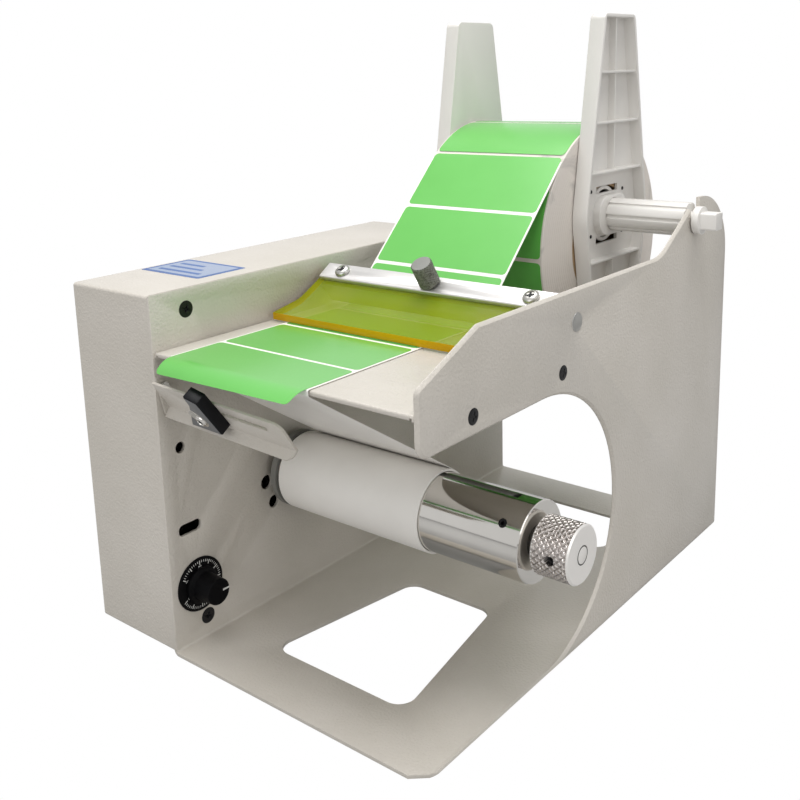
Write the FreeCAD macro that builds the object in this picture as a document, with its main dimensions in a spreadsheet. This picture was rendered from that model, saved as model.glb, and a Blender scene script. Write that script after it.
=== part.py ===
import FreeCAD, Part
import math
import os
import re
import Sketcher
from FreeCAD import Placement, Rotation, Vector

# Label dispenser: a bent chassis with a drive box on its left, a label reel at the back,
# a peel table with a press bar, and a driven take-up roller for the backing paper.
# Machine frame while modelling: x = 0 at the left plate's inner face, y = 0 at the front,
# z = 0 under the base sheet. Every sub-part is then shifted to the part's own origin,
# the middle of its footprint on the surface that it stands on. Millimetres throughout.

SIZES = {
    # chassis: one sheet bent into a U, whose heights follow the label table's
    "table_height": 184.0,
    "bay_width": 182.0,
    "plate": 2.0,
    "depth": 345.0,
    "arm_front_rise": 11.5,
    "arm_front_height": "=table_height + arm_front_rise",
    "arm_rise": 20.0,
    "wall_height": "=arm_front_height + arm_rise",
    "bend_radius": 3.5,
    "arm_slope_run": 47.1,
    "arm_drop": 21.8,
    "arm_under": "=table_height - arm_drop",
    "arm_nose_radius": 9.0,
    "arch_y": 106.6,
    "reel_from_rear": 53.3,
    "reel_y": "=depth - reel_from_rear",
    "reel_rise": 16.5,
    "reel_z": "=wall_height + reel_rise",
    "horn_run": 48.7,
    "horn_start": "=reel_y - horn_run",
    "horn_rise": 25.8,
    "horn_tip_height": "=wall_height + horn_rise",
    "horn_sweep_radius": 34.0,
    "lobe_rise": 30.5,
    "lobe_height": "=wall_height + lobe_rise",
    "lobe_radius": 42.0,
    "journal_radius": 5.4,
    "journal_clearance": 0.06,
    "base_corner_radius": 11.5,
    "window_front": 38.0,
    "window_rear": 146.6,
    "window_front_left": 41.4,
    "window_front_right": 140.3,
    "window_rear_left": 60.0,
    "window_rear_right": 122.0,
    "window_radius": 10.0,
    "rear_window_margin": 34.5,
    "rear_window_depth": 51.7,
    "rear_window_rear": "=depth - rear_window_margin",
    "rear_window_front": "=rear_window_rear - rear_window_depth",
    "rear_window_side": 44.0,
    "rear_window_left": "=rear_window_side",
    "rear_window_right": "=bay_width - rear_window_side",
    # openings in the left plate
    "plug_hole_y": 13.6,
    "plug_hole_z": 124.7,
    "plug_hole_radius": 3.4,
    "wire_slot_y": 16.3,
    "wire_slot_z": 74.5,
    "wire_slot_length": 16.4,
    "wire_slot_height": 7.0,
    "service_hole_y": 77.6,
    "service_hole_z": 81.1,
    "service_hole_radius": 4.6,
    "adjust_hole_y": 82.9,
    "adjust_hole_z": 66.4,
    "adjust_hole_radius": 4.1,
    # drive box
    "box_width": 70.0,
    "box_depth": 272.0,
    "box_lift": 2.0,
    "cover_wall": 1.5,
    "cover_edge_radius": 2.0,
    "pillar_radius": 5.0,
    "pillar_front_y": 24.8,
    "pillar_inset": 20.0,
    "pillar_rear_y": "=box_depth - pillar_inset",
    "pillar_drop": 12.0,
    "pillar_top_z": "=wall_height - pillar_drop",
    "pillar_low_z": 14.5,
    "pillar_screw_radius": 4.9,
    "pillar_thread_radius": 2.4,
    # rubber feet
    "foot_height": 3.0,
    "foot_radius": 8.0,
    "foot_inset": 20.0,
    # label table
    "table_front": 0.7,
    "table_rear": 158.0,
    "table_sheet": 1.5,
    "table_flange": 21.0,
    "table_gap": 0.3,
    "flange_front": 24.0,
    "hem_depth": 8.0,
    "table_screw_front": 42.0,
    "table_screw_rear": 124.9,
    "table_screw_drop": 11.8,
    "table_screw_z": "=table_height - table_screw_drop",
    "table_screw_radius": 2.0,
    "screw_head_radius": 4.1,
    # press bar group, tilted about the cross shaft
    "press_y": 139.3,
    "press_rise": 12.9,
    "press_z": "=table_height + press_rise",
    "press_tilt": 32.0,
    "cross_shaft_radius": 4.0,
    "cross_clearance": 0.05,
    "press_end_gap": 5.7,
    "press_width": 13.2,
    "beam_height": 14.2,
    "bar_thickness": 2.6,
    "sheet_thickness": 4.2,
    "sheet_front_y": 86.6,
    "sheet_overhang": 1.0,
    "sheet_knee_share": 0.42,
    "sheet_knee_slope": 0.86,
    "sheet_bend_radius": 29.0,
    "sheet_knee_radius": 87.0,
    "bar_screw_offset": 69.0,
    "bar_screw_radius": 2.4,
    "bar_screw_head": 4.8,
    "bar_screw_rise": 2.6,
    "bar_screw_tip_gap": 1.5,
    "bar_thread_gap": 1.0,
    "thumb_radius": 6.4,
    "thumb_length": 15.5,
    "thumb_stem_radius": 3.0,
    "thumb_seat_gap": 0.5,
    # sensor and its bracket
    "bracket_start": 1.6,
    "bracket_gap": 0.2,
    "bracket_y": 9.0,
    "bracket_drop": 32.7,
    "bracket_z": "=table_height - bracket_drop",
    "bracket_lean": 34.0,
    "bracket_droop": 2.3,
    "bracket_length": 99.0,
    "bracket_upper": 21.0,
    "bracket_lower": 7.0,
    "bracket_sheet": 1.5,
    "bracket_ear": 19.0,
    "bracket_round": 6.0,
    "bracket_slot_start": 26.0,
    "bracket_slot_end": 86.0,
    "bracket_slot_half": 1.7,
    "bracket_slot_level": 13.4,
    "sensor_start": 29.5,
    "sensor_foot": 24.0,
    "sensor_top": 8.8,
    "sensor_top_inset": 12.0,
    "sensor_height": 27.2,
    "sensor_rise": 5.0,
    "sensor_thickness": 7.3,
    "sensor_gap": 0.1,
    "sensor_screw_inset": 13.6,
    "nut_thickness": 2.4,
    "small_screw_radius": 1.5,
    # take-up roller
    "takeup_y": 101.2,
    "takeup_z": 85.0,
    "takeup_shaft_radius": 5.0,
    "running_clearance": 0.06,
    "bush_radius": 9.0,
    "bush_flange_radius": 12.0,
    "bush_flange": 1.5,
    "bush_tail": 5.0,
    "drive_gap": 5.0,
    "takeup_end_wall": 4.0,
    "hub_flange_start": 5.0,
    "hub_flange_thickness": 4.0,
    "wound_radius": 24.4,
    "wound_start": 12.0,
    "wound_end": 119.8,
    "clip_radius": 22.9,
    "clip_wall": 1.2,
    "clip_clearance": 0.3,
    "clip_slot": 5.0,
    "clip_tie": 9.0,
    "core_wall": 3.6,
    "clip_end": 181.2,
    "clip_ring_end": 184.4,
    "knob_start": 187.2,
    "knob_end": 209.6,
    "knob_radius": 16.2,
    "knob_neck_radius": 8.5,
    "set_screw_radius": 2.6,
    "set_screw_inset": 10.6,
    "plug_length": 14.0,
    "clip_screw_inset": 8.7,
    "clip_screw_angle": 141.0,
    "clip_screw_radius": 2.4,
    "clip_screw_length": 7.0,
    # reel
    "reel_tube_radius": 11.1,
    "flute_width": 2.4,
    "flute_depth": 1.0,
    "flute_count": 8,
    "seat_side_gap": 1.0,
    "tube_end_gap": 1.2,
    "collar_radius": 9.0,
    "collar_thickness": 4.5,
    "stub_side": 11.0,
    "stub_length": 10.5,
    "flange_thickness": 10.6,
    "flange_web": 2.4,
    "flange_wall": 2.2,
    "flange_reach": 131.5,
    "flange_tip_half": 21.2,
    "flange_hub_half": 43.5,
    "flange_tip_radius": 4.5,
    "flange_rib_first": 29.6,
    "flange_rib_pitch": 32.5,
    "flange_rib": 1.6,
    "flange_boss_radius": 13.4,
    "flange_boss_half": 20.0,
    "flange_boss_height": 7.7,
    "spigot_radius": 19.0,
    "spigot_length": 12.0,
    "spigot_wall": 2.6,
    "spline_clearance": 0.1,
    "flange_slit_level": 17.1,
    "flange_slit_length": 30.0,
    "flange_slit_height": 4.6,
    # labels and backing paper
    "web_left": 15.6,
    "web_right": 118.4,
    "roll_radius": 80.0,
    "core_bore_radius": 38.0,
    "core_tube_wall": 4.0,
    "flange_side_gap": 0.5,
    "paper": 0.3,
    "paper_gap": 0.3,
    "web_bend_y": 145.1,
    "web_bend_radius": 18.0,
    "nose_radius": 0.8,
    "label_margin": 2.0,
    "first_gap_y": 35.0,
    "label_lift": 0.3,
    "label_bend_run": 4.9,
    "label_tip_run": 7.6,
    "label_tip_drop": 4.9,
    "label_bend_radius": 16.0,
    # speed control
    "dial_y": 20.4,
    "dial_z": 37.3,
    "dial_radius": 16.5,
    "dial_thickness": 1.0,
    "pot_bush_radius": 3.6,
    "pot_shaft_radius": 3.0,
    "pot_radius": 8.3,
    "pot_depth": 9.5,
    "pot_nut_radius": 6.2,
    "pot_nut_thickness": 2.0,
    "speed_knob_radius": 8.4,
    "speed_skirt_radius": 11.0,
    "speed_knob_length": 16.0,
    "pointer_width": 1.6,
    # drive inside the box
    "gearbox_offset": 20.0,
    "gearbox_depth": 26.0,
    "gearbox_length": 58.0,
    "gearbox_height": 40.0,
    "motor_radius": 15.5,
    "motor_length": 57.0,
    "bracket_plate": 2.0,
    "coupling_radius": 9.0,
    "coupling_hole_gap": 1.0,
    "drive_stub_radius": 4.0,
    "drive_stub_length": 9.0,
    "motor_post_y": 28.0,
    "motor_post_z": 26.0,
    "post_radius": 3.5,
    "board_offset": 12.0,
    "board_thickness": 1.6,
    "board_length": 96.0,
    "board_inset": 26.0,
    "board_rear": "=box_depth - board_inset",
    "board_front": "=board_rear - board_length",
    "block_height": 18.0,
    "plug_height": 9.0,
    "can_height": 20.0,
    "can_radius": 7.0,
    "board_low": 112.0,
    "board_high": 182.0,
    "board_post_inset": 5.0,
    "board_post_radius": 3.0,
    # rear wall of the box
    "socket_z": 42.0,
    "socket_radius": 5.6,
    "socket_bore_radius": 3.1,
    "socket_depth": 14.0,
    "socket_lip": 2.0,
    "switch_z": 78.0,
    "switch_width": 15.0,
    "switch_height": 21.0,
    "switch_lip": 1.5,
    "switch_depth": 16.0,
    "rocker_radius": 8.0,
    "rocker_rise": 1.6,
    # origin of the part in the machine frame: the middle of its footprint
    "origin_x": "=(knob_end - plate - box_width - cover_wall) / 2",
    "origin_y": "=(reel_y + roll_radius + table_front - nose_radius - label_bend_run"
                " - label_tip_run) / 2",
}

doc = FreeCAD.newDocument("label_dispenser")
sheet = doc.addObject("Spreadsheet::Sheet", "Sizes")
for row, (alias, value) in enumerate(SIZES.items(), start=1):
    sheet.set("A%d" % row, alias)
    sheet.set("B%d" % row, str(value))
    sheet.setAlias("B%d" % row, alias)
doc.recompute()

SIZE_NAMES = re.compile(r"\b(" + "|".join(SIZES) + r")\b")
SUB_PARTS = []


def size(alias):
    """The value that the sheet holds for one size."""
    return float(sheet.get(alias))


def formula(text):
    """Turn a formula in plain size names into one that points at the sheet."""
    return SIZE_NAMES.sub(r"Sizes.\1", str(text))


def bind(item, **formulas):
    """Bind properties of a document object; a double underscore stands for a dot."""
    for name, text in formulas.items():
        item.setExpression(name.replace("__", "."), formula(text))
    return item


def place(item, x="0", y="0", z="0"):
    return bind(item, Placement__Base__x=x, Placement__Base__y=y, Placement__Base__z=z)


def finish(item, label, x="0", y="0", z="0", turn=None):
    """Name a sub-part and shift it from the machine frame to the part's own origin."""
    if turn is not None:
        item.Placement = Placement(Vector(), turn)
    item.Label = label
    place(item, "(%s) - origin_x" % x, "(%s) - origin_y" % y, "(%s) + foot_height" % z)
    SUB_PARTS.append(item)
    return item


# Building blocks: boxes, rods and their unions and differences

def box(x0, x1, y0, y1, z0, z1):
    item = doc.addObject("Part::Box", "box")
    bind(item, Length="(%s) - (%s)" % (x1, x0), Width="(%s) - (%s)" % (y1, y0),
         Height="(%s) - (%s)" % (z1, z0))
    return place(item, x0, y0, z0)


AXIS_TURNS = {
    "x": Rotation(Vector(0, 1, 0), 90),
    "y": Rotation(Vector(1, 0, 0), -90),
    "z": Rotation(),
}


def rod(axis, radius, length, x="0", y="0", z="0"):
    """Cylinder that starts at a point and runs along +x, +y or +z."""
    item = doc.addObject("Part::Cylinder", "rod")
    item.Placement = Placement(Vector(), AXIS_TURNS[axis])
    bind(item, Radius=radius, Height=length)
    return place(item, x, y, z)


def cone(axis, radius_a, radius_b, length, x="0", y="0", z="0"):
    item = doc.addObject("Part::Cone", "cone")
    item.Placement = Placement(Vector(), AXIS_TURNS[axis])
    bind(item, Radius1=radius_a, Radius2=radius_b, Height=length)
    return place(item, x, y, z)


def fuse(*items):
    item = doc.addObject("Part::MultiFuse", "union")
    item.Shapes = list(items)
    item.Refine = True
    return item


def cut(base, *tools):
    item = doc.addObject("Part::Cut", "difference")
    item.Base = base
    item.Tool = tools[0] if len(tools) == 1 else fuse(*tools)
    return item


def ring(radius, bore, length, x, y, z):
    """Plain ring along x."""
    return cut(rod("x", radius, length, x, y, z),
               rod("x", bore, "(%s) + 2" % length, "(%s) - 1" % x, y, z))


# Sketched bodies

def new_body(name):
    return doc.addObject("PartDesign::Body", name)


def new_sketch(body, role, offset="0"):
    """Sketch on one of the body's own origin planes, lifted along the plane's normal."""
    sketch = body.newObject("Sketcher::SketchObject", "sketch")
    plane = [f for f in body.Origin.OriginFeatures if f.Role == role][0]
    sketch.AttachmentSupport = (plane, [""])
    sketch.MapMode = "FlatFace"
    sketch.setExpression(".AttachmentOffset.Base.z", formula(offset))
    return sketch


def pin_point(sketch, edge, point, x, y):
    """Hold one point of an edge at a place given by two formulas."""
    for kind, text in (("DistanceX", x), ("DistanceY", y)):
        index = sketch.addConstraint(Sketcher.Constraint(kind, -1, 1, edge, point, 1.0))
        sketch.setExpression("Constraints[%d]" % index, formula(text))


def add_outline(sketch, corners):
    """Closed outline whose corners are pairs of formulas."""
    count = len(corners)
    first = len(sketch.Geometry)
    turn = 2 * math.pi / count
    ends = [Vector(math.cos(turn * i), math.sin(turn * i), 0) for i in range(count)]
    for i in range(count):
        sketch.addGeometry(Part.LineSegment(ends[i], ends[(i + 1) % count]), False)
    for i in range(count):
        following = first + (i + 1) % count
        sketch.addConstraint(Sketcher.Constraint("Coincident", first + i, 2, following, 1))
    for i, (x, y) in enumerate(corners):
        pin_point(sketch, first + i, 1, x, y)


def add_circle(sketch, x, y, radius):
    edge = sketch.addGeometry(Part.Circle(Vector(1, 1, 0), Vector(0, 0, 1), 1.0), False)
    pin_point(sketch, edge, 3, x, y)
    index = sketch.addConstraint(Sketcher.Constraint("Radius", edge, 1.0))
    sketch.setExpression("Constraints[%d]" % index, formula(radius))


def pad(body, sketch, length, middle=False, back=False):
    item = body.newObject("PartDesign::Pad", "pad")
    item.Profile = sketch
    item.Midplane = middle
    item.Reversed = back
    bind(item, Length=length)
    doc.recompute()
    return item


def pocket(body, sketch, length, middle=True, back=False):
    """Pocket that must remove something: a wrong direction would cut nothing."""
    before = body.Shape.Volume
    item = body.newObject("PartDesign::Pocket", "pocket")
    item.Profile = sketch
    item.Midplane = middle
    item.Reversed = back
    bind(item, Length=length)
    doc.recompute()
    if not item.Shape.Volume < before:
        raise ValueError("a pocket of %s removed nothing" % body.Name)
    return item


def round_edges(body, radius, wanted, kind="PartDesign::Fillet"):
    """Fillet or chamfer the edges of the body's tip that a test picks."""
    tip = body.Tip
    names = ["Edge%d" % (i + 1) for i, edge in enumerate(tip.Shape.Edges) if wanted(edge)]
    if not names:
        raise ValueError("no edge to round on %s" % body.Name)
    item = body.newObject(kind, "round")
    item.Base = (tip, names)
    if kind.endswith("Fillet"):
        bind(item, Radius=radius)
    else:
        bind(item, Size=radius)
    doc.recompute()
    return item


NEAR = 0.02


def runs_along(edge, axis):
    """True for a straight edge parallel to x, y or z."""
    if edge.Curve.TypeId != "Part::GeomLine":
        return False
    direction = edge.Curve.Direction
    return abs(abs(getattr(direction, axis)) - 1) < NEAR


def edge_at(axis, **place_of):
    """Test for a straight edge along an axis whose middle has the given coordinates."""
    def test(edge):
        middle = edge.BoundBox.Center
        return runs_along(edge, axis) and all(
            abs(getattr(middle, name) - value) < NEAR for name, value in place_of.items())
    return test


def any_of(*tests):
    return lambda edge: any(test(edge) for test in tests)


def rim_at(radius, x):
    """Test for a full circle of one radius in a plane across x."""
    def test(edge):
        return (edge.Curve.TypeId == "Part::GeomCircle" and abs(edge.Curve.Radius - radius) < NEAR
                and abs(edge.BoundBox.Center.x - x) < NEAR and edge.BoundBox.XLength < NEAR)
    return test


# Thin strips that follow a bent path in the y-z plane

def offset_path(points, shift):
    """Corners of the path moved sideways by a distance, mitred at every corner."""
    moved = []
    for i, point in enumerate(points):
        before = (point - points[i - 1]).normalize() if i > 0 else None
        after = (points[i + 1] - point).normalize() if i + 1 < len(points) else None
        before = before or after
        after = after or before
        side_a = Vector(0, -before.z, before.y)
        side_b = Vector(0, -after.z, after.y)
        side = (side_a + side_b).normalize()
        moved.append(point + side * (shift / side.dot(side_b)))
    return moved


def rounded_edges(points, radii):
    """Edges of an open path whose inner corners are rounded."""
    edges = []
    start = points[0]
    for i in range(1, len(points) - 1):
        before = (points[i] - points[i - 1]).normalize()
        after = (points[i + 1] - points[i]).normalize()
        turn = before.getAngle(after)
        reach = radii[i - 1] * math.tan(turn / 2)
        arc_start = points[i] - before * reach
        arc_end = points[i] + after * reach
        inward = (after - before).normalize()
        centre = points[i] + inward * (radii[i - 1] / math.cos(turn / 2))
        arc_middle = centre - inward * radii[i - 1]
        edges.append(Part.makeLine(start, arc_start))
        edges.append(Part.Arc(arc_start, arc_middle, arc_end).toShape())
        start = arc_end
    edges.append(Part.makeLine(start, points[-1]))
    return edges


def strip(path, radii, thickness, x_start, width):
    """Strip of even thickness on the left side of a path given as (y, z) corners."""
    points = [Vector(0, y, z) for y, z in path]
    outer = offset_path(points, thickness)
    outer_radii = []
    for i, radius in enumerate(radii):
        before = points[i + 1] - points[i]
        after = points[i + 2] - points[i + 1]
        turns_left = before.cross(after).x > 0
        outer_radii.append(radius - thickness if turns_left else radius + thickness)
    near_side = rounded_edges(points, radii)
    far_side = rounded_edges(outer, outer_radii)
    ends = [Part.makeLine(points[0], outer[0]), Part.makeLine(points[-1], outer[-1])]
    outline = Part.Wire(Part.__sortEdges__(near_side + far_side + ends))
    face = Part.Face(outline)
    face.translate(Vector(x_start, 0, 0))
    return face.extrude(Vector(width, 0, 0))


def shaped(name, shape):
    item = doc.addObject("Part::Feature", name)
    item.Shape = shape
    return item


# Chassis: base, plain left plate and right plate with its arch and arm

def make_chassis():
    body = new_body("chassis_body")
    inner, outer_right = "bay_width", "bay_width + plate"
    section = new_sketch(body, "XZ_Plane")
    add_outline(section, [
        ("-plate", "lobe_height"), ("-plate", "0"), (outer_right, "0"),
        (outer_right, "lobe_height"), (inner, "lobe_height"), (inner, "plate"),
        ("0", "plate"), ("0", "lobe_height")])
    pad(body, section, "depth", back=True)
    right_face = size("bay_width") + size("plate")
    half_depth = size("depth") / 2
    round_edges(body, "bend_radius", any_of(
        edge_at("y", x=-size("plate"), y=half_depth, z=0),
        edge_at("y", x=right_face, y=half_depth, z=0)))
    round_edges(body, "bend_radius - plate", any_of(
        edge_at("y", x=0, y=half_depth, z=size("plate")),
        edge_at("y", x=size("bay_width"), y=half_depth, z=size("plate"))))

    # the plates step down from the reel seat to the front in one swept line
    profile = new_sketch(body, "YZ_Plane", "bay_width / 2")
    horn_side = "reel_y - journal_radius - journal_clearance"
    add_outline(profile, [
        ("-1", "wall_height"), ("horn_start", "wall_height"), (horn_side, "horn_tip_height"),
        (horn_side, "lobe_height + 1"), ("-1", "lobe_height + 1")])
    pocket(body, profile, "bay_width + 4 * plate")
    seat = new_sketch(body, "YZ_Plane", "bay_width / 2")
    seat_half = "(journal_radius + journal_clearance)"
    add_outline(seat, [
        ("reel_y - " + seat_half, "reel_z"), ("reel_y + " + seat_half, "reel_z"),
        ("reel_y + " + seat_half, "lobe_height + 1"),
        ("reel_y - " + seat_half, "lobe_height + 1")])
    pocket(body, seat, "bay_width + 4 * plate")
    seat_round = new_sketch(body, "YZ_Plane", "bay_width / 2")
    add_circle(seat_round, "reel_y", "reel_z", seat_half)
    pocket(body, seat_round, "bay_width + 4 * plate")
    round_edges(body, "lobe_radius", edge_at("x", y=size("depth"), z=size("lobe_height")))
    round_edges(body, "horn_sweep_radius",
                edge_at("x", y=size("horn_start"), z=size("wall_height")))
    horn_y = size("reel_y") - size("journal_radius") - size("journal_clearance")
    round_edges(body, "plate", edge_at("x", y=horn_y, z=size("horn_tip_height")))

    # right plate: sloped arm, and the arch that frees the take-up roller
    arm = new_sketch(body, "YZ_Plane", "bay_width + plate / 2")
    add_outline(arm, [
        ("-1", "arm_front_height"), ("0", "arm_front_height"),
        ("arm_slope_run", "wall_height"), ("arm_slope_run", "wall_height + 1"),
        ("-1", "wall_height + 1")])
    pocket(body, arm, "2 * plate")
    add_arch(body)
    round_edges(body, "arm_nose_radius", edge_at("x", y=0, z=size("arm_under")))
    round_edges(body, "2 * plate", any_of(
        edge_at("x", y=0, z=size("arm_front_height")),
        edge_at("x", y=size("arm_slope_run"), z=size("wall_height"))))

    # base: two windows and a rounded free corner
    windows = new_sketch(body, "XY_Plane")
    add_outline(windows, [
        ("window_front_left", "window_front"), ("window_front_right", "window_front"),
        ("window_rear_right", "window_rear"), ("window_rear_left", "window_rear")])
    add_outline(windows, [
        ("rear_window_left", "rear_window_front"), ("rear_window_right", "rear_window_front"),
        ("rear_window_right", "rear_window_rear"), ("rear_window_left", "rear_window_rear")])
    pocket(body, windows, "3 * plate")
    inside_base = lambda edge: (runs_along(edge, "z") and edge.BoundBox.ZMax < size("plate") + 1
                                and abs(edge.BoundBox.Center.x - size("bay_width") / 2)
                                < size("bay_width") / 2 - 2 * size("plate"))
    round_edges(body, "window_radius", inside_base)
    add_base_corner(body)

    # left plate: openings for the controls, the drive and the pillars
    holes = new_sketch(body, "YZ_Plane", "-plate / 2")
    add_circle(holes, "plug_hole_y", "plug_hole_z", "plug_hole_radius")
    add_circle(holes, "service_hole_y", "service_hole_z", "service_hole_radius")
    add_circle(holes, "adjust_hole_y", "adjust_hole_z", "adjust_hole_radius")
    add_circle(holes, "dial_y", "dial_z", "pot_bush_radius + running_clearance")
    add_circle(holes, "takeup_y", "takeup_z", "bush_radius")
    for y in ("pillar_front_y", "pillar_rear_y"):
        for z in ("pillar_top_z", "pillar_low_z"):
            add_circle(holes, y, z, "pillar_screw_radius")
    pocket(body, holes, "2 * plate")
    slot = new_sketch(body, "YZ_Plane", "-plate / 2")
    half_length, half_height = "wire_slot_length / 2", "wire_slot_height / 2"
    add_outline(slot, [
        ("wire_slot_y - " + half_length, "wire_slot_z - " + half_height),
        ("wire_slot_y + " + half_length, "wire_slot_z - " + half_height),
        ("wire_slot_y + " + half_length, "wire_slot_z + " + half_height),
        ("wire_slot_y - " + half_length, "wire_slot_z + " + half_height)])
    pocket(body, slot, "2 * plate")
    slot_corner = lambda edge: (
        runs_along(edge, "x") and abs(edge.BoundBox.Center.x + size("plate") / 2) < NEAR
        and abs(edge.BoundBox.Center.y - size("wire_slot_y")) < size("wire_slot_length")
        and abs(edge.BoundBox.Center.z - size("wire_slot_z")) < size("wire_slot_height"))
    round_edges(body, "0.9 * wire_slot_height / 2", slot_corner)

    # both plates carry the table and the cross shaft
    for middle in ("-plate / 2", "bay_width + plate / 2"):
        fixings = new_sketch(body, "YZ_Plane", middle)
        add_circle(fixings, "table_screw_front", "table_screw_z", "table_screw_radius")
        add_circle(fixings, "table_screw_rear", "table_screw_z", "table_screw_radius")
        add_circle(fixings, "press_y", "press_z", "cross_shaft_radius")
        pocket(body, fixings, "2 * plate")
    sink = any_of(rim_at(size("table_screw_radius"), right_face),
                  rim_at(size("table_screw_radius"), -size("plate")))
    round_edges(body, "screw_head_radius - table_screw_radius - 0.3 * plate", sink,
                "PartDesign::Chamfer")
    return finish(body, "chassis")


def add_arch(body):
    """Cut the right plate open in front, with a half-round back that meets the base."""
    radius = "((arm_under - plate) / 2)"
    front = new_sketch(body, "YZ_Plane", "bay_width + plate / 2")
    add_outline(front, [
        ("-1", "plate"), ("arch_y", "plate"), ("arch_y", "arm_under"), ("-1", "arm_under")])
    pocket(body, front, "2 * plate")
    back = new_sketch(body, "YZ_Plane", "bay_width + plate / 2")
    add_circle(back, "arch_y", "plate + " + radius, radius)
    pocket(body, back, "2 * plate")


def add_base_corner(body):
    """Cut off the base sheet's free corner at the front right and round the cut."""
    corner = new_sketch(body, "XY_Plane")
    right = "bay_width + plate"
    add_outline(corner, [
        (right + " - base_corner_radius", "-1"), (right + " + 1", "-1"),
        (right + " + 1", "base_corner_radius + bend_radius"),
        (right + " - bend_radius", "base_corner_radius * 0.6"),
        (right + " - base_corner_radius", "0")])
    pocket(body, corner, "3 * plate")


# Drive box: folded cover, its pillars and screws, and the rubber feet

def make_side_cover():
    body = new_body("cover_body")
    outer = new_sketch(body, "YZ_Plane", "-plate")
    add_outline(outer, [
        ("0", "box_lift"), ("box_depth", "box_lift"),
        ("box_depth", "wall_height"), ("0", "wall_height")])
    pad(body, outer, "box_width", back=True)
    far = -size("plate") - size("box_width")
    round_edges(body, "cover_edge_radius", lambda edge: (
        runs_along(edge, "x") or abs(edge.BoundBox.XMax - far) < NEAR))
    inner = new_sketch(body, "YZ_Plane", "-plate")
    add_outline(inner, [
        ("cover_wall", "box_lift + cover_wall"),
        ("box_depth - cover_wall", "box_lift + cover_wall"),
        ("box_depth - cover_wall", "wall_height - cover_wall"),
        ("cover_wall", "wall_height - cover_wall")])
    pocket(body, inner, "box_width - cover_wall", middle=False)
    rear = new_sketch(body, "XZ_Plane", "-box_depth")
    middle_x = "(-plate - box_width / 2)"
    add_circle(rear, middle_x, "socket_z", "socket_radius")
    switch = new_sketch(body, "XZ_Plane", "-box_depth")
    add_outline(switch, [
        (middle_x + " - switch_width / 2", "switch_z - switch_height / 2"),
        (middle_x + " + switch_width / 2", "switch_z - switch_height / 2"),
        (middle_x + " + switch_width / 2", "switch_z + switch_height / 2"),
        (middle_x + " - switch_width / 2", "switch_z + switch_height / 2")])
    pocket(body, rear, "4 * cover_wall")
    pocket(body, switch, "4 * cover_wall")
    pins = new_sketch(body, "YZ_Plane", "-plate - box_width")
    for y in ("pillar_front_y", "pillar_rear_y"):
        for z in ("pillar_top_z", "pillar_low_z"):
            add_circle(pins, y, z, "pillar_thread_radius")
    pocket(body, pins, "4 * cover_wall")
    return finish(body, "side_cover")


PILLAR_SPOTS = [(y, z) for y in ("pillar_front_y", "pillar_rear_y")
                for z in ("pillar_top_z", "pillar_low_z")]


def make_pillars():
    """Four spacers between the left plate and the cover's far wall."""
    length = "box_width - cover_wall"
    start = "-plate - box_width + cover_wall"
    rods = [cut(rod("x", "pillar_radius", length, start, y, z),
                rod("x", "pillar_thread_radius", "%s + 2" % length, start + " - 1", y, z))
            for y, z in PILLAR_SPOTS]
    return finish(fuse(*rods), "cover_pillars")


def make_pillar_screws():
    """Flush black screws in the left plate, threaded into the pillars."""
    screws = []
    for y, z in PILLAR_SPOTS:
        head = rod("x", "pillar_screw_radius", "plate", "-plate", y, z)
        stem = rod("x", "pillar_thread_radius", "3 * plate", "-4 * plate", y, z)
        recess = rod("x", "pillar_thread_radius * 0.8", "plate", "-0.6 * plate", y, z)
        screws.append(cut(fuse(head, stem), recess))
    return finish(fuse(*screws), "pillar_screws")


def make_cover_screws():
    """Pan-head screws through the cover's far wall into the pillars."""
    wall = "-plate - box_width"
    screws = []
    for y, z in PILLAR_SPOTS:
        head = rod("x", "pillar_screw_radius * 0.8", "cover_wall", wall + " - cover_wall", y, z)
        stem = rod("x", "pillar_thread_radius", "5 * cover_wall", wall, y, z)
        screws.append(fuse(head, stem))
    return finish(fuse(*screws), "cover_screws")


def make_feet():
    feet = [cone("z", "foot_radius * 0.85", "foot_radius", "foot_height", x, y, "-foot_height")
            for x in ("foot_inset", "bay_width - foot_inset")
            for y in ("foot_inset", "depth - foot_inset")]
    return finish(fuse(*feet), "rubber_feet")


# Peel table

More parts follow.
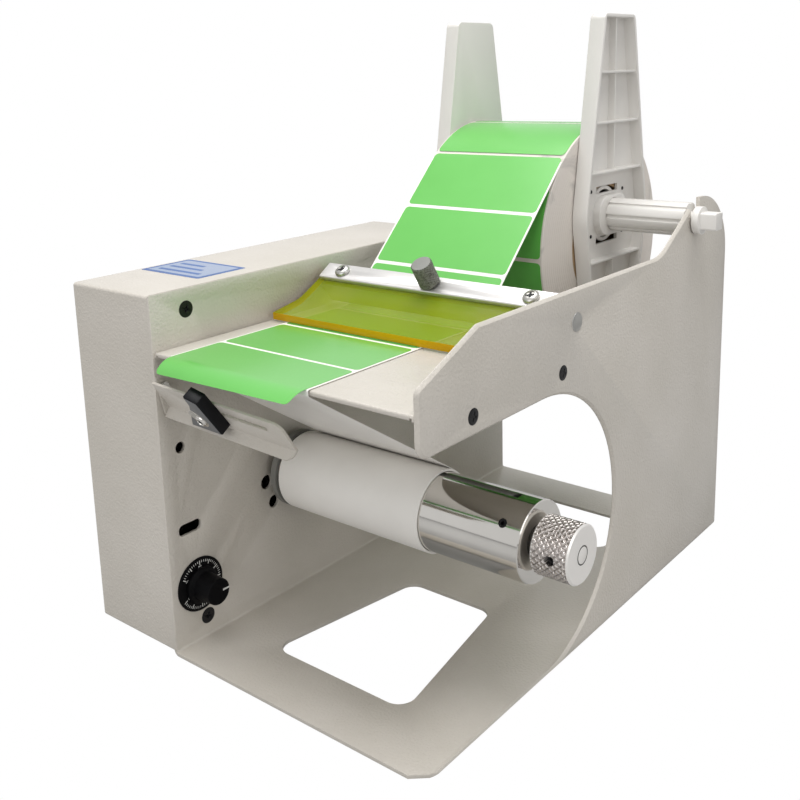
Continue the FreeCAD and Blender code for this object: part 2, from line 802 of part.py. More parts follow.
def make_table():
    body = new_body("table_body")
    left, right = "table_gap", "bay_width - table_gap"
    low, top = "table_height - table_flange", "table_height"
    section = new_sketch(body, "XZ_Plane", "-table_front")
    add_outline(section, [
        (left, low), (left, top), (right, top), (right, low),
        (right + " - table_sheet", low), (right + " - table_sheet", top + " - table_sheet"),
        (left + " + table_sheet", top + " - table_sheet"), (left + " + table_sheet", low)])
    pad(body, section, "table_rear - table_front", back=True)
    middle_y = (size("table_front") + size("table_rear")) / 2
    left_face = size("table_gap")
    right_face = size("bay_width") - size("table_gap")
    round_edges(body, "1.5 * table_sheet", any_of(
        edge_at("y", x=left_face, y=middle_y, z=size("table_height")),
        edge_at("y", x=right_face, y=middle_y, z=size("table_height"))))
    trim = new_sketch(body, "YZ_Plane", "bay_width / 2")
    under = "table_height - 2 * table_sheet"
    add_outline(trim, [
        ("table_front - 1", low + " - 1"), ("flange_front", low + " - 1"), ("flange_front", low),
        ("flange_front - hem_depth", under), ("table_front - 1", under)])
    pocket(body, trim, "bay_width")
    hem = new_sketch(body, "YZ_Plane", "bay_width / 2")
    add_outline(hem, [
        ("table_front", "table_height - 2 * table_sheet"),
        ("table_front + hem_depth", "table_height - 2 * table_sheet"),
        ("table_front + hem_depth", "table_height - table_sheet"),
        ("table_front", "table_height - table_sheet")])
    pad(body, hem, "bay_width - 2 * table_gap - 4 * table_sheet", middle=True)
    nose = lambda edge: (runs_along(edge, "x") and abs(edge.BoundBox.Center.y
                         - size("table_front")) < NEAR and edge.Length > size("bay_width") / 2)
    round_edges(body, "0.8 * table_sheet", nose)
    fixings = new_sketch(body, "YZ_Plane", "bay_width / 2")
    add_circle(fixings, "table_screw_front", "table_screw_z", "table_screw_radius")
    add_circle(fixings, "table_screw_rear", "table_screw_z", "table_screw_radius")
    pocket(body, fixings, "bay_width")
    return finish(body, "peel_table")


def make_table_screws():
    """Countersunk screws through the plates into the table's side flanges."""
    depth_of_head = "(screw_head_radius - table_screw_radius - 0.3 * plate)"
    reach = "plate + table_gap + 2 * table_sheet"
    screws = []
    for y in ("table_screw_front", "table_screw_rear"):
        outer = "bay_width + plate"
        head = cone("x", "table_screw_radius", "table_screw_radius + " + depth_of_head,
                    depth_of_head, "%s - %s" % (outer, depth_of_head), y, "table_screw_z")
        stem = rod("x", "table_screw_radius", reach, "%s - (%s)" % (outer, reach), y,
                   "table_screw_z")
        screws.append(fuse(head, stem))
        head = cone("x", "table_screw_radius + " + depth_of_head, "table_screw_radius",
                    depth_of_head, "-plate", y, "table_screw_z")
        stem = rod("x", "table_screw_radius", reach, "-plate", y, "table_screw_z")
        screws.append(fuse(head, stem))
    return finish(fuse(*screws), "table_screws")


# Press bar group: everything here is drawn square about the cross shaft and then tilted

PRESS_TURN = Rotation(Vector(1, 0, 0), size("press_tilt"))
BAR_LEFT = "press_end_gap"
BAR_RIGHT = "(bay_width - press_end_gap)"
HALF_WIDTH = "press_width / 2"
BEAM_TOP = "(beam_height / 2)"
SHEET_TOP = "(beam_height / 2 + sheet_thickness)"
BAR_TOP = "(beam_height / 2 + sheet_thickness + bar_thickness)"
SCREW_SPOTS = ("bay_width / 2 - bar_screw_offset", "bay_width / 2 + bar_screw_offset")
SCREW_TIP = "(cross_shaft_radius + bar_screw_tip_gap)"


def finish_press(item, label):
    """The press group's own frame sits on the cross shaft and is tilted."""
    return finish(item, label, y="press_y", z="press_z", turn=PRESS_TURN)


def make_cross_shaft():
    shaft = rod("x", "cross_shaft_radius", "bay_width + 2 * plate")
    return finish(shaft, "cross_shaft", "-plate", "press_y", "press_z")


def make_press_beam():
    block = box(BAR_LEFT, BAR_RIGHT, "-" + HALF_WIDTH, HALF_WIDTH, "-beam_height / 2", BEAM_TOP)
    bore = rod("x", "cross_shaft_radius + cross_clearance", "bay_width", "0")
    threads = [rod("z", "bar_screw_radius", "beam_height", x, "0",
                   "cross_shaft_radius + bar_thread_gap")
               for x in SCREW_SPOTS]
    middle = rod("z", "thumb_stem_radius + running_clearance", "beam_height", "bay_width / 2")
    return finish_press(cut(block, bore, middle, *threads), "press_beam")


def make_press_bar():
    body = new_body("bar_body")
    plan = new_sketch(body, "XY_Plane", SHEET_TOP)
    add_outline(plan, [
        (BAR_LEFT, "-" + HALF_WIDTH), (BAR_RIGHT, "-" + HALF_WIDTH),
        (BAR_RIGHT, HALF_WIDTH), (BAR_LEFT, HALF_WIDTH)])
    pad(body, plan, "bar_thickness")
    round_edges(body, "bar_thickness / 2", lambda edge: runs_along(edge, "z"))
    top = (size("beam_height") / 2 + size("sheet_thickness") + size("bar_thickness"))
    round_edges(body, "bar_thickness / 5", lambda edge: (
        abs(edge.BoundBox.ZMin - top) < NEAR), "PartDesign::Chamfer")
    holes = new_sketch(body, "XY_Plane", SHEET_TOP)
    for x in SCREW_SPOTS:
        add_circle(holes, x, "0", "bar_screw_radius")
    add_circle(holes, "bay_width / 2", "0", "thumb_stem_radius + running_clearance")
    pocket(body, holes, "3 * bar_thickness")
    return finish_press(body, "press_bar")


def make_press_sheet():
    """Soft sheet clamped under the bar; it bends forward until its edge meets the labels."""
    tilt = math.radians(size("press_tilt"))
    half, rise = size("press_width") / 2, size("beam_height") / 2
    seat_y, seat_z = size("press_y"), size("press_z")
    thick = size("sheet_thickness")

    def on_beam(along):
        """Point on the beam's top face, as machine y and z."""
        return (seat_y + along * math.cos(tilt) - rise * math.sin(tilt),
                seat_z + along * math.sin(tilt) + rise * math.cos(tilt))

    rear = on_beam(half)
    front = on_beam(-half - size("sheet_overhang"))
    web_top = size("table_height") + 2 * size("paper_gap") + 2 * size("paper")
    toe_y = size("sheet_front_y")
    reach = size("sheet_knee_share") * (front[0] - toe_y)
    knee = (front[0] - reach,
            front[1] - reach * math.tan(tilt * size("sheet_knee_slope")))
    path = [rear, front, knee, (toe_y, web_top)]
    radii = [size("sheet_knee_radius"), size("sheet_bend_radius")]
    sheet_solid = strip(path, radii, -thick, size("press_end_gap") - size("sheet_overhang"),
                        size("bay_width") - 2 * size("press_end_gap")
                        + 2 * size("sheet_overhang"))
    sheet_solid = square_toe(sheet_solid, toe_y, web_top)
    for x in (size("bay_width") / 2 - size("bar_screw_offset"),
              size("bay_width") / 2 + size("bar_screw_offset"), size("bay_width") / 2):
        radius = size("bar_screw_radius")
        if abs(x - size("bay_width") / 2) < NEAR:
            radius = size("thumb_stem_radius") + size("running_clearance")
        normal = Vector(0, -math.sin(tilt), math.cos(tilt))
        hole = Part.makeCylinder(radius, 3 * size("press_width"),
                                 Vector(x, seat_y, seat_z), normal)
        sheet_solid = sheet_solid.cut(hole)
    return finish(shaped("sheet_solid", sheet_solid), "press_sheet")


def square_toe(solid, toe_y, toe_z):
    """Trim the sheet's front to an upright face and its underside to the labels."""
    bounds = solid.BoundBox
    reach = 2 * size("press_width")
    left = bounds.XMin - reach
    across = bounds.XLength + 2 * reach
    front = Part.makeBox(across, reach, 2 * reach, Vector(left, toe_y - reach, toe_z - reach))
    below = Part.makeBox(across, 2 * reach, reach, Vector(left, toe_y - reach, toe_z - reach))
    return solid.cut(front).cut(below)


def make_bar_screws():
    screws = []
    for x in SCREW_SPOTS:
        head = rod("z", "bar_screw_head", "bar_screw_rise", x, "0", BAR_TOP)
        stem = rod("z", "bar_screw_radius", BAR_TOP + " - " + SCREW_TIP, x, "0", SCREW_TIP)
        screws.append(fuse(head, stem))
    return finish_press(fuse(*screws), "bar_screws")


def make_thumb_screw():
    """Knurled clamp screw: its tip stops just short of the cross shaft."""
    body = new_body("thumb_body")
    profile = new_sketch(body, "XZ_Plane")
    middle = "bay_width / 2"
    tip = "cross_shaft_radius + 2 * cross_clearance"
    seat = BAR_TOP + " + thumb_seat_gap"
    add_outline(profile, [
        (middle, tip), (middle + " + thumb_stem_radius", tip),
        (middle + " + thumb_stem_radius", seat), (middle + " + thumb_radius", seat),
        (middle + " + thumb_radius", seat + " + thumb_length"),
        (middle, seat + " + thumb_length")])
    turned = body.newObject("PartDesign::Revolution", "turned")
    turned.Profile = profile
    turned.ReferenceAxis = (profile, ["Edge6"])
    turned.Angle = 360
    doc.recompute()
    top = (size("beam_height") / 2 + size("sheet_thickness") + size("bar_thickness")
           + size("thumb_seat_gap") + size("thumb_length"))
    round_edges(body, "thumb_radius / 10", lambda edge: (
        abs(edge.BoundBox.ZMin - top) < NEAR and edge.BoundBox.ZLength < NEAR),
        "PartDesign::Chamfer")
    return finish_press(body, "thumb_screw")


# Sensor and its bracket; the sensor's own frame lies flat against the bracket's upper leg

SENSOR_TURN = (Rotation(Vector(0, 1, 0), size("bracket_droop"))
               * Rotation(Vector(1, 0, 0), size("bracket_lean")))


def make_sensor_bracket():
    """Thin sheet folded to an angle that opens forward, with a slot and an ear on the plate."""
    body = new_body("bracket_body")
    lean = "%s(bracket_lean * 1deg)"
    sine, cosine = lean % "sin", lean % "cos"
    section = new_sketch(body, "YZ_Plane")
    add_outline(section, [
        ("0", "0"),
        ("-bracket_upper * " + sine, "bracket_upper * " + cosine),
        ("-bracket_upper * %s - bracket_sheet * %s" % (sine, cosine),
         "bracket_upper * %s - bracket_sheet * %s" % (cosine, sine)),
        ("-bracket_sheet / " + cosine, "0"),
        ("-bracket_lower * %s - bracket_sheet * %s" % (sine, cosine),
         "-bracket_lower * %s + bracket_sheet * %s" % (cosine, sine)),
        ("-bracket_lower * " + sine, "-bracket_lower * " + cosine)])
    pad(body, section, "bracket_length")
    free_corner = lambda edge: (
        abs(edge.BoundBox.Center.x - size("bracket_length")) < NEAR
        and abs(edge.Length - size("bracket_sheet")) < NEAR)
    round_edges(body, "bracket_round", free_corner)
    body.Placement = Placement(Vector(), Rotation(Vector(0, 1, 0), size("bracket_droop")))
    place(body, "bracket_start", "bracket_y", "bracket_z")

    ear_body = new_body("ear_body")
    ear = new_sketch(ear_body, "YZ_Plane", "bracket_gap")
    add_outline(ear, [
        ("bracket_y - bracket_ear / 2", "bracket_z + bracket_ear"),
        ("bracket_y + bracket_ear / 3", "bracket_z + bracket_ear / 2"),
        ("bracket_y + bracket_ear / 3", "bracket_z - bracket_lower / 2"),
        ("bracket_y - bracket_ear / 4", "bracket_z - bracket_lower / 2")])
    pad(ear_body, ear, "bracket_sheet")
    holes = new_sketch(ear_body, "YZ_Plane", "bracket_gap")
    for y, z in BRACKET_SCREWS:
        add_circle(holes, y, z, "small_screw_radius")
    pocket(ear_body, holes, "4 * bracket_sheet")

    half, start, end = "bracket_slot_half", "bracket_slot_start", "bracket_slot_end"
    depth = "4 * bracket_sheet"
    slot = fuse(box("%s + %s" % (start, half), "%s - %s" % (end, half), "-" + depth, depth,
                    "bracket_slot_level - " + half, "bracket_slot_level + " + half),
                rod("y", half, "2 * " + depth, "%s + %s" % (start, half), "-" + depth,
                    "bracket_slot_level"),
                rod("y", half, "2 * " + depth, "%s - %s" % (end, half), "-" + depth,
                    "bracket_slot_level"))
    slot.Placement = Placement(Vector(), SENSOR_TURN)
    place(slot, "bracket_start", "bracket_y", "bracket_z")
    return finish(cut(fuse(body, ear_body), slot), "sensor_bracket")


BRACKET_SCREWS = (("bracket_y - bracket_ear / 4", "bracket_z + 0.66 * bracket_ear"),
                  ("bracket_y + 0.16 * bracket_ear", "bracket_z + 0.2 * bracket_ear"))


def make_bracket_screws():
    screws = []
    for y, z in BRACKET_SCREWS:
        head = rod("x", "1.9 * small_screw_radius", "bracket_sheet",
                   "bracket_gap + bracket_sheet", y, z)
        stem = rod("x", "small_screw_radius", "bracket_gap + bracket_sheet", "0", y, z)
        screws.append(fuse(head, stem))
    return finish(fuse(*screws), "bracket_screws")


def finish_sensor(item, label):
    return finish(item, label, "bracket_start", "bracket_y", "bracket_z", SENSOR_TURN)


SENSOR_SCREW_X = "sensor_start + sensor_screw_inset"
SENSOR_SCREW_LEVEL = "bracket_slot_level"
SENSOR_BACK = "(bracket_sheet + sensor_gap)"


def make_sensor_body():
    """Wedge-shaped block in front of the bracket's upper leg."""
    body = new_body("sensor_block")
    outline = new_sketch(body, "XZ_Plane", SENSOR_BACK)
    left, low = "sensor_start", "sensor_rise"
    high = "(sensor_rise + sensor_height)"
    right = "(sensor_start + sensor_foot)"
    add_outline(outline, [
        (left, low), (right, low), (right, low + " + sensor_height / 14"),
        (left + " + sensor_top_inset + sensor_top", high + " - sensor_height / 10"),
        (left + " + sensor_top_inset", high), (left + " + sensor_top_inset",
                                               low + " + 0.75 * sensor_height")])
    pad(body, outline, "sensor_thickness")
    front = -size("bracket_sheet") - size("sensor_gap") - size("sensor_thickness")
    round_edges(body, "sensor_thickness / 12", lambda edge: (
        abs(edge.BoundBox.YMin - front) < NEAR and edge.BoundBox.YLength < NEAR),
        "PartDesign::Chamfer")
    hole = new_sketch(body, "XZ_Plane", SENSOR_BACK)
    add_circle(hole, SENSOR_SCREW_X, SENSOR_SCREW_LEVEL, "small_screw_radius")
    pocket(body, hole, "4 * sensor_thickness")
    return finish_sensor(body, "sensor_body")


def make_sensor_screw():
    """Screw through the sensor and the slot, with its nut behind the bracket."""
    front = "(-%s - sensor_thickness)" % SENSOR_BACK
    stem = rod("y", "small_screw_radius", "%s + sensor_thickness + nut_thickness" % SENSOR_BACK,
               SENSOR_SCREW_X, front, SENSOR_SCREW_LEVEL)
    head = rod("y", "1.7 * small_screw_radius", "sensor_thickness / 8", SENSOR_SCREW_X,
               front + " - sensor_thickness / 8", SENSOR_SCREW_LEVEL)
    nut = rod("y", "1.9 * small_screw_radius", "nut_thickness - sensor_gap", SENSOR_SCREW_X,
              "sensor_gap", SENSOR_SCREW_LEVEL)
    return finish_sensor(fuse(stem, head, nut), "sensor_screw")


# Take-up roller: shaft, drum and the clip that is pulled out to free the wound paper

CORE_RADIUS = "(clip_radius - clip_wall - clip_clearance)"
CORE_START = "(hub_flange_start + hub_flange_thickness)"
PLUG_START = "(clip_end - plug_length)"
CORE_END = "(%s - clip_clearance)" % PLUG_START
CLIP_SCREW_X = "(clip_end - clip_screw_inset)"
CLIP_SCREW_TURN = Rotation(Vector(1, 0, 0), size("clip_screw_angle") - 90)
SHAFT_START = "(-plate - bush_tail - drive_gap)"


def make_takeup_shaft():
    shaft = rod("x", "takeup_shaft_radius", "%s - takeup_end_wall / 2 - %s"
                % (CORE_END, SHAFT_START))
    return finish(shaft, "takeup_shaft", SHAFT_START, "takeup_y", "takeup_z")


def make_takeup_bush():
    barrel = rod("x", "bush_radius", "bush_tail + plate", "-plate - bush_tail", "takeup_y",
                 "takeup_z")
    collar = rod("x", "bush_flange_radius", "bush_flange", "0", "takeup_y", "takeup_z")
    bore = rod("x", "takeup_shaft_radius + running_clearance", "4 * bush_radius",
               "-2 * bush_radius", "takeup_y", "takeup_z")
    return finish(cut(fuse(barrel, collar), bore), "takeup_bush")


def make_takeup_flange():
    disc = ring("wound_radius", "takeup_shaft_radius", "hub_flange_thickness",
                "hub_flange_start", "takeup_y", "takeup_z")
    return finish(disc, "takeup_flange")


def make_takeup_core():
    """Drum with an end wall on each side that holds the shaft."""
    length = "%s - %s" % (CORE_END, CORE_START)
    outer = rod("x", CORE_RADIUS, length, CORE_START, "takeup_y", "takeup_z")
    hollow = rod("x", CORE_RADIUS + " - core_wall", length + " - 2 * takeup_end_wall",
                 CORE_START + " + takeup_end_wall", "takeup_y", "takeup_z")
    bore = rod("x", "takeup_shaft_radius", length, CORE_START + " - takeup_end_wall / 2",
               "takeup_y", "takeup_z")
    return finish(cut(outer, hollow, bore), "takeup_core")


def make_takeup_clip():
    """Springy shell round the drum, split along its top and its bottom."""
    start = CORE_START + " + clip_clearance"
    length = "clip_end - %s - clip_clearance" % CORE_START
    shell = ring("clip_radius", "clip_radius - clip_wall", length, start, "takeup_y",
                 "takeup_z")
    split = box(start + " - 1", "clip_end - clip_tie", "takeup_y - clip_slot / 2",
                "takeup_y + clip_slot / 2", "takeup_z - 2 * clip_radius",
                "takeup_z + 2 * clip_radius")
    return finish(cut(shell, split, clip_screw_hole()), "takeup_clip")


def clip_screw_hole():
    """Rod from the roller's axis outwards, where the clip's grub screw sits."""
    hole = doc.addObject("Part::Cylinder", "radial_rod")
    hole.Placement = Placement(Vector(), CLIP_SCREW_TURN)
    bind(hole, Radius="clip_screw_radius", Height="2 * clip_radius")
    return place(hole, CLIP_SCREW_X, "takeup_y", "takeup_z")


def make_clip_ring():
    """End plug that fills the clip's outer end, with a rim that covers the shell's edge."""
    rim = rod("x", "clip_radius", "clip_ring_end - clip_end", "clip_end", "takeup_y", "takeup_z")
    plug = rod("x", "clip_radius - clip_wall - cross_clearance", "plug_length", PLUG_START,
               "takeup_y", "takeup_z")
    bore = rod("x", "takeup_shaft_radius", "2 * plug_length", PLUG_START, "takeup_y", "takeup_z")
    return finish(cut(fuse(rim, plug), bore, clip_screw_hole()), "clip_ring")


def make_clip_stem():
    stem = rod("x", "takeup_shaft_radius", "knob_end - " + PLUG_START)
    return finish(stem, "clip_stem", PLUG_START, "takeup_y", "takeup_z")


def make_clip_screw():
    """Grub screw through the shell into the end plug; it is drawn upright, then turned."""
    top = "(clip_radius - clip_wall / 4)"
    screw = rod("z", "clip_screw_radius", "clip_screw_length", CLIP_SCREW_X, "0",
                top + " - clip_screw_length")
    socket = rod("z", "clip_screw_radius / 2", "clip_screw_length", CLIP_SCREW_X, "0",
                 top + " - clip_screw_length / 3")
    return finish(cut(screw, socket), "clip_screw", y="takeup_y", z="takeup_z",
                  turn=CLIP_SCREW_TURN)


def make_pull_knob():
    """Knob with a neck; its bore takes the stem."""
    body = new_body("knob_body")
    profile = new_sketch(body, "XZ_Plane", "0")
    add_outline(profile, [
        ("clip_ring_end", "takeup_shaft_radius"), ("clip_ring_end", "knob_neck_radius"),
        ("knob_start", "knob_neck_radius"), ("knob_start", "knob_radius"),
        ("knob_end", "knob_radius"), ("knob_end", "takeup_shaft_radius")])
    turn_about_x(body, profile)
    round_edges(body, "knob_radius / 14", any_of(
        rim_at(size("knob_radius"), size("knob_start")),
        rim_at(size("knob_radius"), size("knob_end"))), "PartDesign::Chamfer")
    hole = new_sketch(body, "XZ_Plane", "knob_radius / 2 + takeup_shaft_radius / 2")
    add_circle(hole, SET_SCREW_X, "0", "set_screw_radius")
    pocket(body, hole, "knob_radius - takeup_shaft_radius")
    return finish(body, "pull_knob", y="takeup_y", z="takeup_z")


SET_SCREW_X = "(knob_end - set_screw_inset)"


def turn_about_x(body, profile):
    """Full turn of a profile about the body's x axis."""
    axis = [f for f in body.Origin.OriginFeatures if f.Role == "X_Axis"][0]
    item = body.newObject("PartDesign::Revolution", "turned")
    item.Profile = profile
    item.ReferenceAxis = (axis, [""])
    item.Angle = 360
    doc.recompute()
    return item


def make_set_screw():
    """Grub screw that holds the knob on the stem; it faces forward."""
    wall = "(knob_radius - takeup_shaft_radius)"
    head = "takeup_y - takeup_shaft_radius - 0.7 * " + wall
    screw = rod("y", "set_screw_radius", "0.7 * " + wall, SET_SCREW_X, head, "takeup_z")
    socket = rod("y", "set_screw_radius / 2", "0.3 * " + wall, SET_SCREW_X, head, "takeup_z")
    return finish(cut(screw, socket), "knob_set_screw")


def make_wound_liner():
    paper = ring("wound_radius", "clip_radius + clip_clearance", "wound_end - wound_start",
                 "wound_start", "takeup_y", "takeup_z")
    return finish(paper, "wound_liner")


# Paper: the roll on its tube, the web over the table, and the label that is peeled off

ROLL_Z = "(reel_z - core_bore_radius + spigot_radius + paper_gap)"


def make_roll_core():
    tube = ring("core_bore_radius + core_tube_wall", "core_bore_radius",
                "web_right - web_left", "web_left", "reel_y", ROLL_Z)
    return finish(tube, "roll_core")


def make_label_roll():
    paper = ring("roll_radius", "core_bore_radius + core_tube_wall", "web_right - web_left",
                 "web_left", "reel_y", ROLL_Z)
    return finish(paper, "label_roll")


def tangent_point(point, centre, radius, side):
    """Point where a line from a place outside a circle touches it."""
    run, rise = centre[0] - point[0], centre[1] - point[1]
    distance = math.hypot(run, rise)
    angle = math.atan2(rise, run) + side * math.asin(radius / distance)
    reach = math.sqrt(distance ** 2 - radius ** 2)
    return (point[0] + reach * math.cos(angle), point[1] + reach * math.sin(angle))


def make_liner_web():
    """Backing paper from the roll, over the table, round its nose and down to the drum."""
    roll_z = (size("reel_z") - size("core_bore_radius") + size("spigot_radius")
              + size("paper_gap"))
    on_table = size("table_height") + size("paper_gap")
    bend = (size("web_bend_y"), on_table)
    gap_radius = size("roll_radius") + size("paper_gap")
    leaves_roll = tangent_point(bend, (size("reel_y"), roll_z), gap_radius, 1)
    nose = (size("table_front") - size("nose_radius"), on_table)
    under = (nose[0], size("table_height") - 2 * size("table_sheet") + size("paper_gap"))
    drum = (size("takeup_y"), size("takeup_z"))
    meets_drum = tangent_point(under, drum, size("wound_radius") + size("paper_gap"), 1)
    path = [leaves_roll, bend, nose, under, meets_drum]
    radii = [size("web_bend_radius"), size("nose_radius"), size("nose_radius")]
    width = size("web_right") - size("web_left")
    web = strip(path, radii, -size("paper"), size("web_left"), width)
    return finish(shaped("web_solid", web), "liner_web")


def make_peeled_label():
    """Front label: its rear half still lies on the web, its front half bends down freely."""
    level = size("table_height") + size("paper_gap") + size("paper") + size("label_lift")
    rear = (size("first_gap_y") - size("label_margin") / 2, level)
    edge = (size("table_front") - size("nose_radius"), level)
    corner = (edge[0] - size("label_bend_run"), level)
    tip = (corner[0] - size("label_tip_run"), level - size("label_tip_drop"))
    path = [rear, corner, tip]
    width = size("web_right") - size("web_left") - 2 * size("label_margin")
    label = strip(path, [size("label_bend_radius")], -size("paper"),
                  size("web_left") + size("label_margin"), width)
    return finish(shaped("label_solid", label), "peeled_label")


# Reel: fluted shaft in the two open seats, and a two-armed flange on each side of the roll

SHAFT_BODY_START = "tube_end_gap"
SHAFT_BODY_END = "(bay_width - tube_end_gap)"


def make_reel_shaft():
    body = new_body("shaft_body")
    start = new_sketch(body, "YZ_Plane", SHAFT_BODY_START)
    add_circle(start, "0", "0", "reel_tube_radius")
    pad(body, start, "bay_width - 2 * tube_end_gap")
    flute = new_sketch(body, "YZ_Plane", "bay_width / 2")
    add_outline(flute, [
        ("-flute_width / 2", "reel_tube_radius - flute_depth"),
        ("flute_width / 2", "reel_tube_radius - flute_depth"),
        ("flute_width / 2", "reel_tube_radius + flute_depth"),
        ("-flute_width / 2", "reel_tube_radius + flute_depth")])
    groove = pocket(body, flute, "bay_width")
    axis = [f for f in body.Origin.OriginFeatures if f.Role == "X_Axis"][0]
    flutes = body.newObject("PartDesign::PolarPattern", "flutes")
    flutes.Originals = [groove]
    flutes.Axis = (axis, [""])
    flutes.Angle = 360
    bind(flutes, Occurrences="flute_count")
    body.Tip = flutes
    doc.recompute()
    collar_gap = "seat_side_gap"
    add_disc(body, "journal_radius", "-plate - %s" % collar_gap,
             "bay_width + 1.5 * plate + %s" % collar_gap)
    add_disc(body, "collar_radius", "-plate - %s - collar_thickness" % collar_gap,
             "-plate - " + collar_gap)
    add_disc(body, "collar_radius", "bay_width + plate + " + collar_gap,
             "bay_width + plate + %s + collar_thickness" % collar_gap)
    stub = new_sketch(body, "YZ_Plane", "bay_width + plate + %s + collar_thickness" % collar_gap)
    half = "stub_side / 2"
    add_outline(stub, [("-" + half, "-" + half), (half, "-" + half), (half, half),
                       ("-" + half, half)])
    pad(body, stub, "stub_length")
    stub_face = (size("bay_width") + size("plate") + size("seat_side_gap")
                 + size("collar_thickness") + size("stub_length"))
    round_edges(body, "stub_side / 8", lambda edge: (
        runs_along(edge, "x") and edge.BoundBox.XMax > stub_face - NEAR))
    return finish(body, "reel_shaft", y="reel_y", z="reel_z")


def add_disc(body, radius, x_start, x_end):
    sketch = new_sketch(body, "YZ_Plane", x_start)
    add_circle(sketch, "0", "0", radius)
    return pad(body, sketch, "(%s) - (%s)" % (x_end, x_start))


def blade(half_hub, half_tip, reach):
    """Corners of a two-armed blade, widest at the hub."""
    return [("-" + half_hub, "0"), ("-" + half_tip, "-" + reach), (half_tip, "-" + reach),
            (half_hub, "0"), (half_tip, reach), ("-" + half_tip, reach)]


def make_flange(label, x, turn):
    """Two-armed flange: plain face towards the roll, ribs and a boss on the outside."""
    body = new_body(label + "_body")
    plate = new_sketch(body, "YZ_Plane")
    add_outline(plate, blade("flange_hub_half", "flange_tip_half", "flange_reach"))
    pad(body, plate, "flange_thickness")
    tip = lambda edge: (runs_along(edge, "x") and abs(abs(edge.BoundBox.Center.z)
                        - size("flange_reach")) < NEAR)
    waist = lambda edge: (runs_along(edge, "x") and abs(edge.BoundBox.Center.z) < NEAR)
    round_edges(body, "flange_tip_radius", tip)
    round_edges(body, "flange_hub_half", waist)
    hollow = new_sketch(body, "YZ_Plane", "flange_web")
    wall = " - flange_wall)"
    add_outline(hollow, blade("(flange_hub_half" + wall, "(flange_tip_half" + wall,
                              "(flange_reach" + wall))
    pocket(body, hollow, "flange_thickness", middle=False, back=True)
    inner_waist = lambda edge: (waist(edge) and abs(abs(edge.BoundBox.Center.y)
                                - size("flange_hub_half") + size("flange_wall")) < NEAR)
    round_edges(body, "flange_hub_half", inner_waist)
    half_rib = "flange_rib / 2"
    for side in ("", "-"):
        inner = "(%sflange_rib_first)" % side
        outer = "(%s(flange_reach - flange_wall / 2))" % side
        rib = new_sketch(body, "YZ_Plane", "flange_web / 2")
        add_outline(rib, [
            ("-" + half_rib, inner), (half_rib, inner), (half_rib, outer),
            ("-" + half_rib, outer)])
        pad(body, rib, "0.6 * flange_thickness")
        for step in range(3):
            above = "(flange_rib_first + %d * flange_rib_pitch)" % step
            level = side + above
            reach = ("(flange_hub_half - flange_wall / 2 - (flange_hub_half - flange_tip_half)"
                     " * %s / flange_reach)" % above)
            rib = new_sketch(body, "YZ_Plane", "flange_web / 2")
            add_outline(rib, [
                ("-" + reach, level + " - " + half_rib), (reach, level + " - " + half_rib),
                (reach, level + " + " + half_rib), ("-" + reach, level + " + " + half_rib)])
            pad(body, rib, "flange_thickness - 1.2 * flange_web")
    boss = new_sketch(body, "YZ_Plane", "flange_web / 2")
    add_outline(boss, [
        ("-flange_boss_half", "-flange_boss_radius"), ("flange_boss_half", "-flange_boss_radius"),
        ("flange_boss_half", "flange_boss_radius"), ("-flange_boss_half", "flange_boss_radius")])
    pad(body, boss, "flange_boss_height - flange_web / 2")
    boss_corner = lambda edge: (
        runs_along(edge, "x") and abs(abs(edge.BoundBox.Center.y) - size("flange_boss_half")) < NEAR
        and abs(abs(edge.BoundBox.Center.z) - size("flange_boss_radius")) < NEAR)
    round_edges(body, "0.9 * flange_boss_radius", boss_corner)
    add_disc(body, "spigot_radius", "-spigot_length", "flange_web / 2")
    bore = new_sketch(body, "YZ_Plane")
    add_circle(bore, "0", "0", "reel_tube_radius + spline_clearance")
    pocket(body, bore, "8 * flange_thickness")
    spigot = new_sketch(body, "YZ_Plane", "-spigot_length")
    add_circle(spigot, "0", "0", "spigot_radius - spigot_wall")
    pocket(body, spigot, "spigot_length", middle=False, back=True)
    slits = new_sketch(body, "YZ_Plane")
    for side in ("", "-"):
        level = side + "flange_slit_level"
        add_outline(slits, [
            ("-flange_slit_length / 2", level + " - flange_slit_height / 2"),
            ("flange_slit_length / 2", level + " - flange_slit_height / 2"),
            ("flange_slit_length / 2", level + " + flange_slit_height / 2"),
            ("-flange_slit_length / 2", level + " + flange_slit_height / 2")])
    pocket(body, slits, "2 * flange_web", middle=False, back=True)
    return finish(body, label, x, "reel_y", "reel_z", turn)


# Speed control on the left plate

def make_speed_pot():
    can = rod("x", "pot_radius", "pot_depth", "-plate - pot_depth", "dial_y", "dial_z")
    bush = rod("x", "pot_bush_radius", "plate + dial_thickness + pot_nut_thickness", "-plate",
               "dial_y", "dial_z")
    bore = rod("x", "pot_shaft_radius + 2 * running_clearance", "8 * pot_nut_thickness",
               "-4 * plate", "dial_y", "dial_z")
    return finish(cut(fuse(can, bush), bore), "speed_pot")


def make_pot_nut():
    nut = doc.addObject("Part::Prism", "hexagon")
    nut.Polygon = 6
    nut.Placement = Placement(Vector(), AXIS_TURNS["x"])
    bind(nut, Circumradius="pot_nut_radius", Height="pot_nut_thickness")
    place(nut, "dial_thickness", "dial_y", "dial_z")
    bore = rod("x", "pot_bush_radius", "3 * pot_nut_thickness", "0", "dial_y", "dial_z")
    return finish(cut(nut, bore), "pot_nut")


def make_speed_dial():
    disc = ring("dial_radius", "pot_bush_radius", "dial_thickness", "0", "dial_y", "dial_z")
    return finish(disc, "speed_dial")


KNOB_FOOT = "(dial_thickness + paper_gap)"


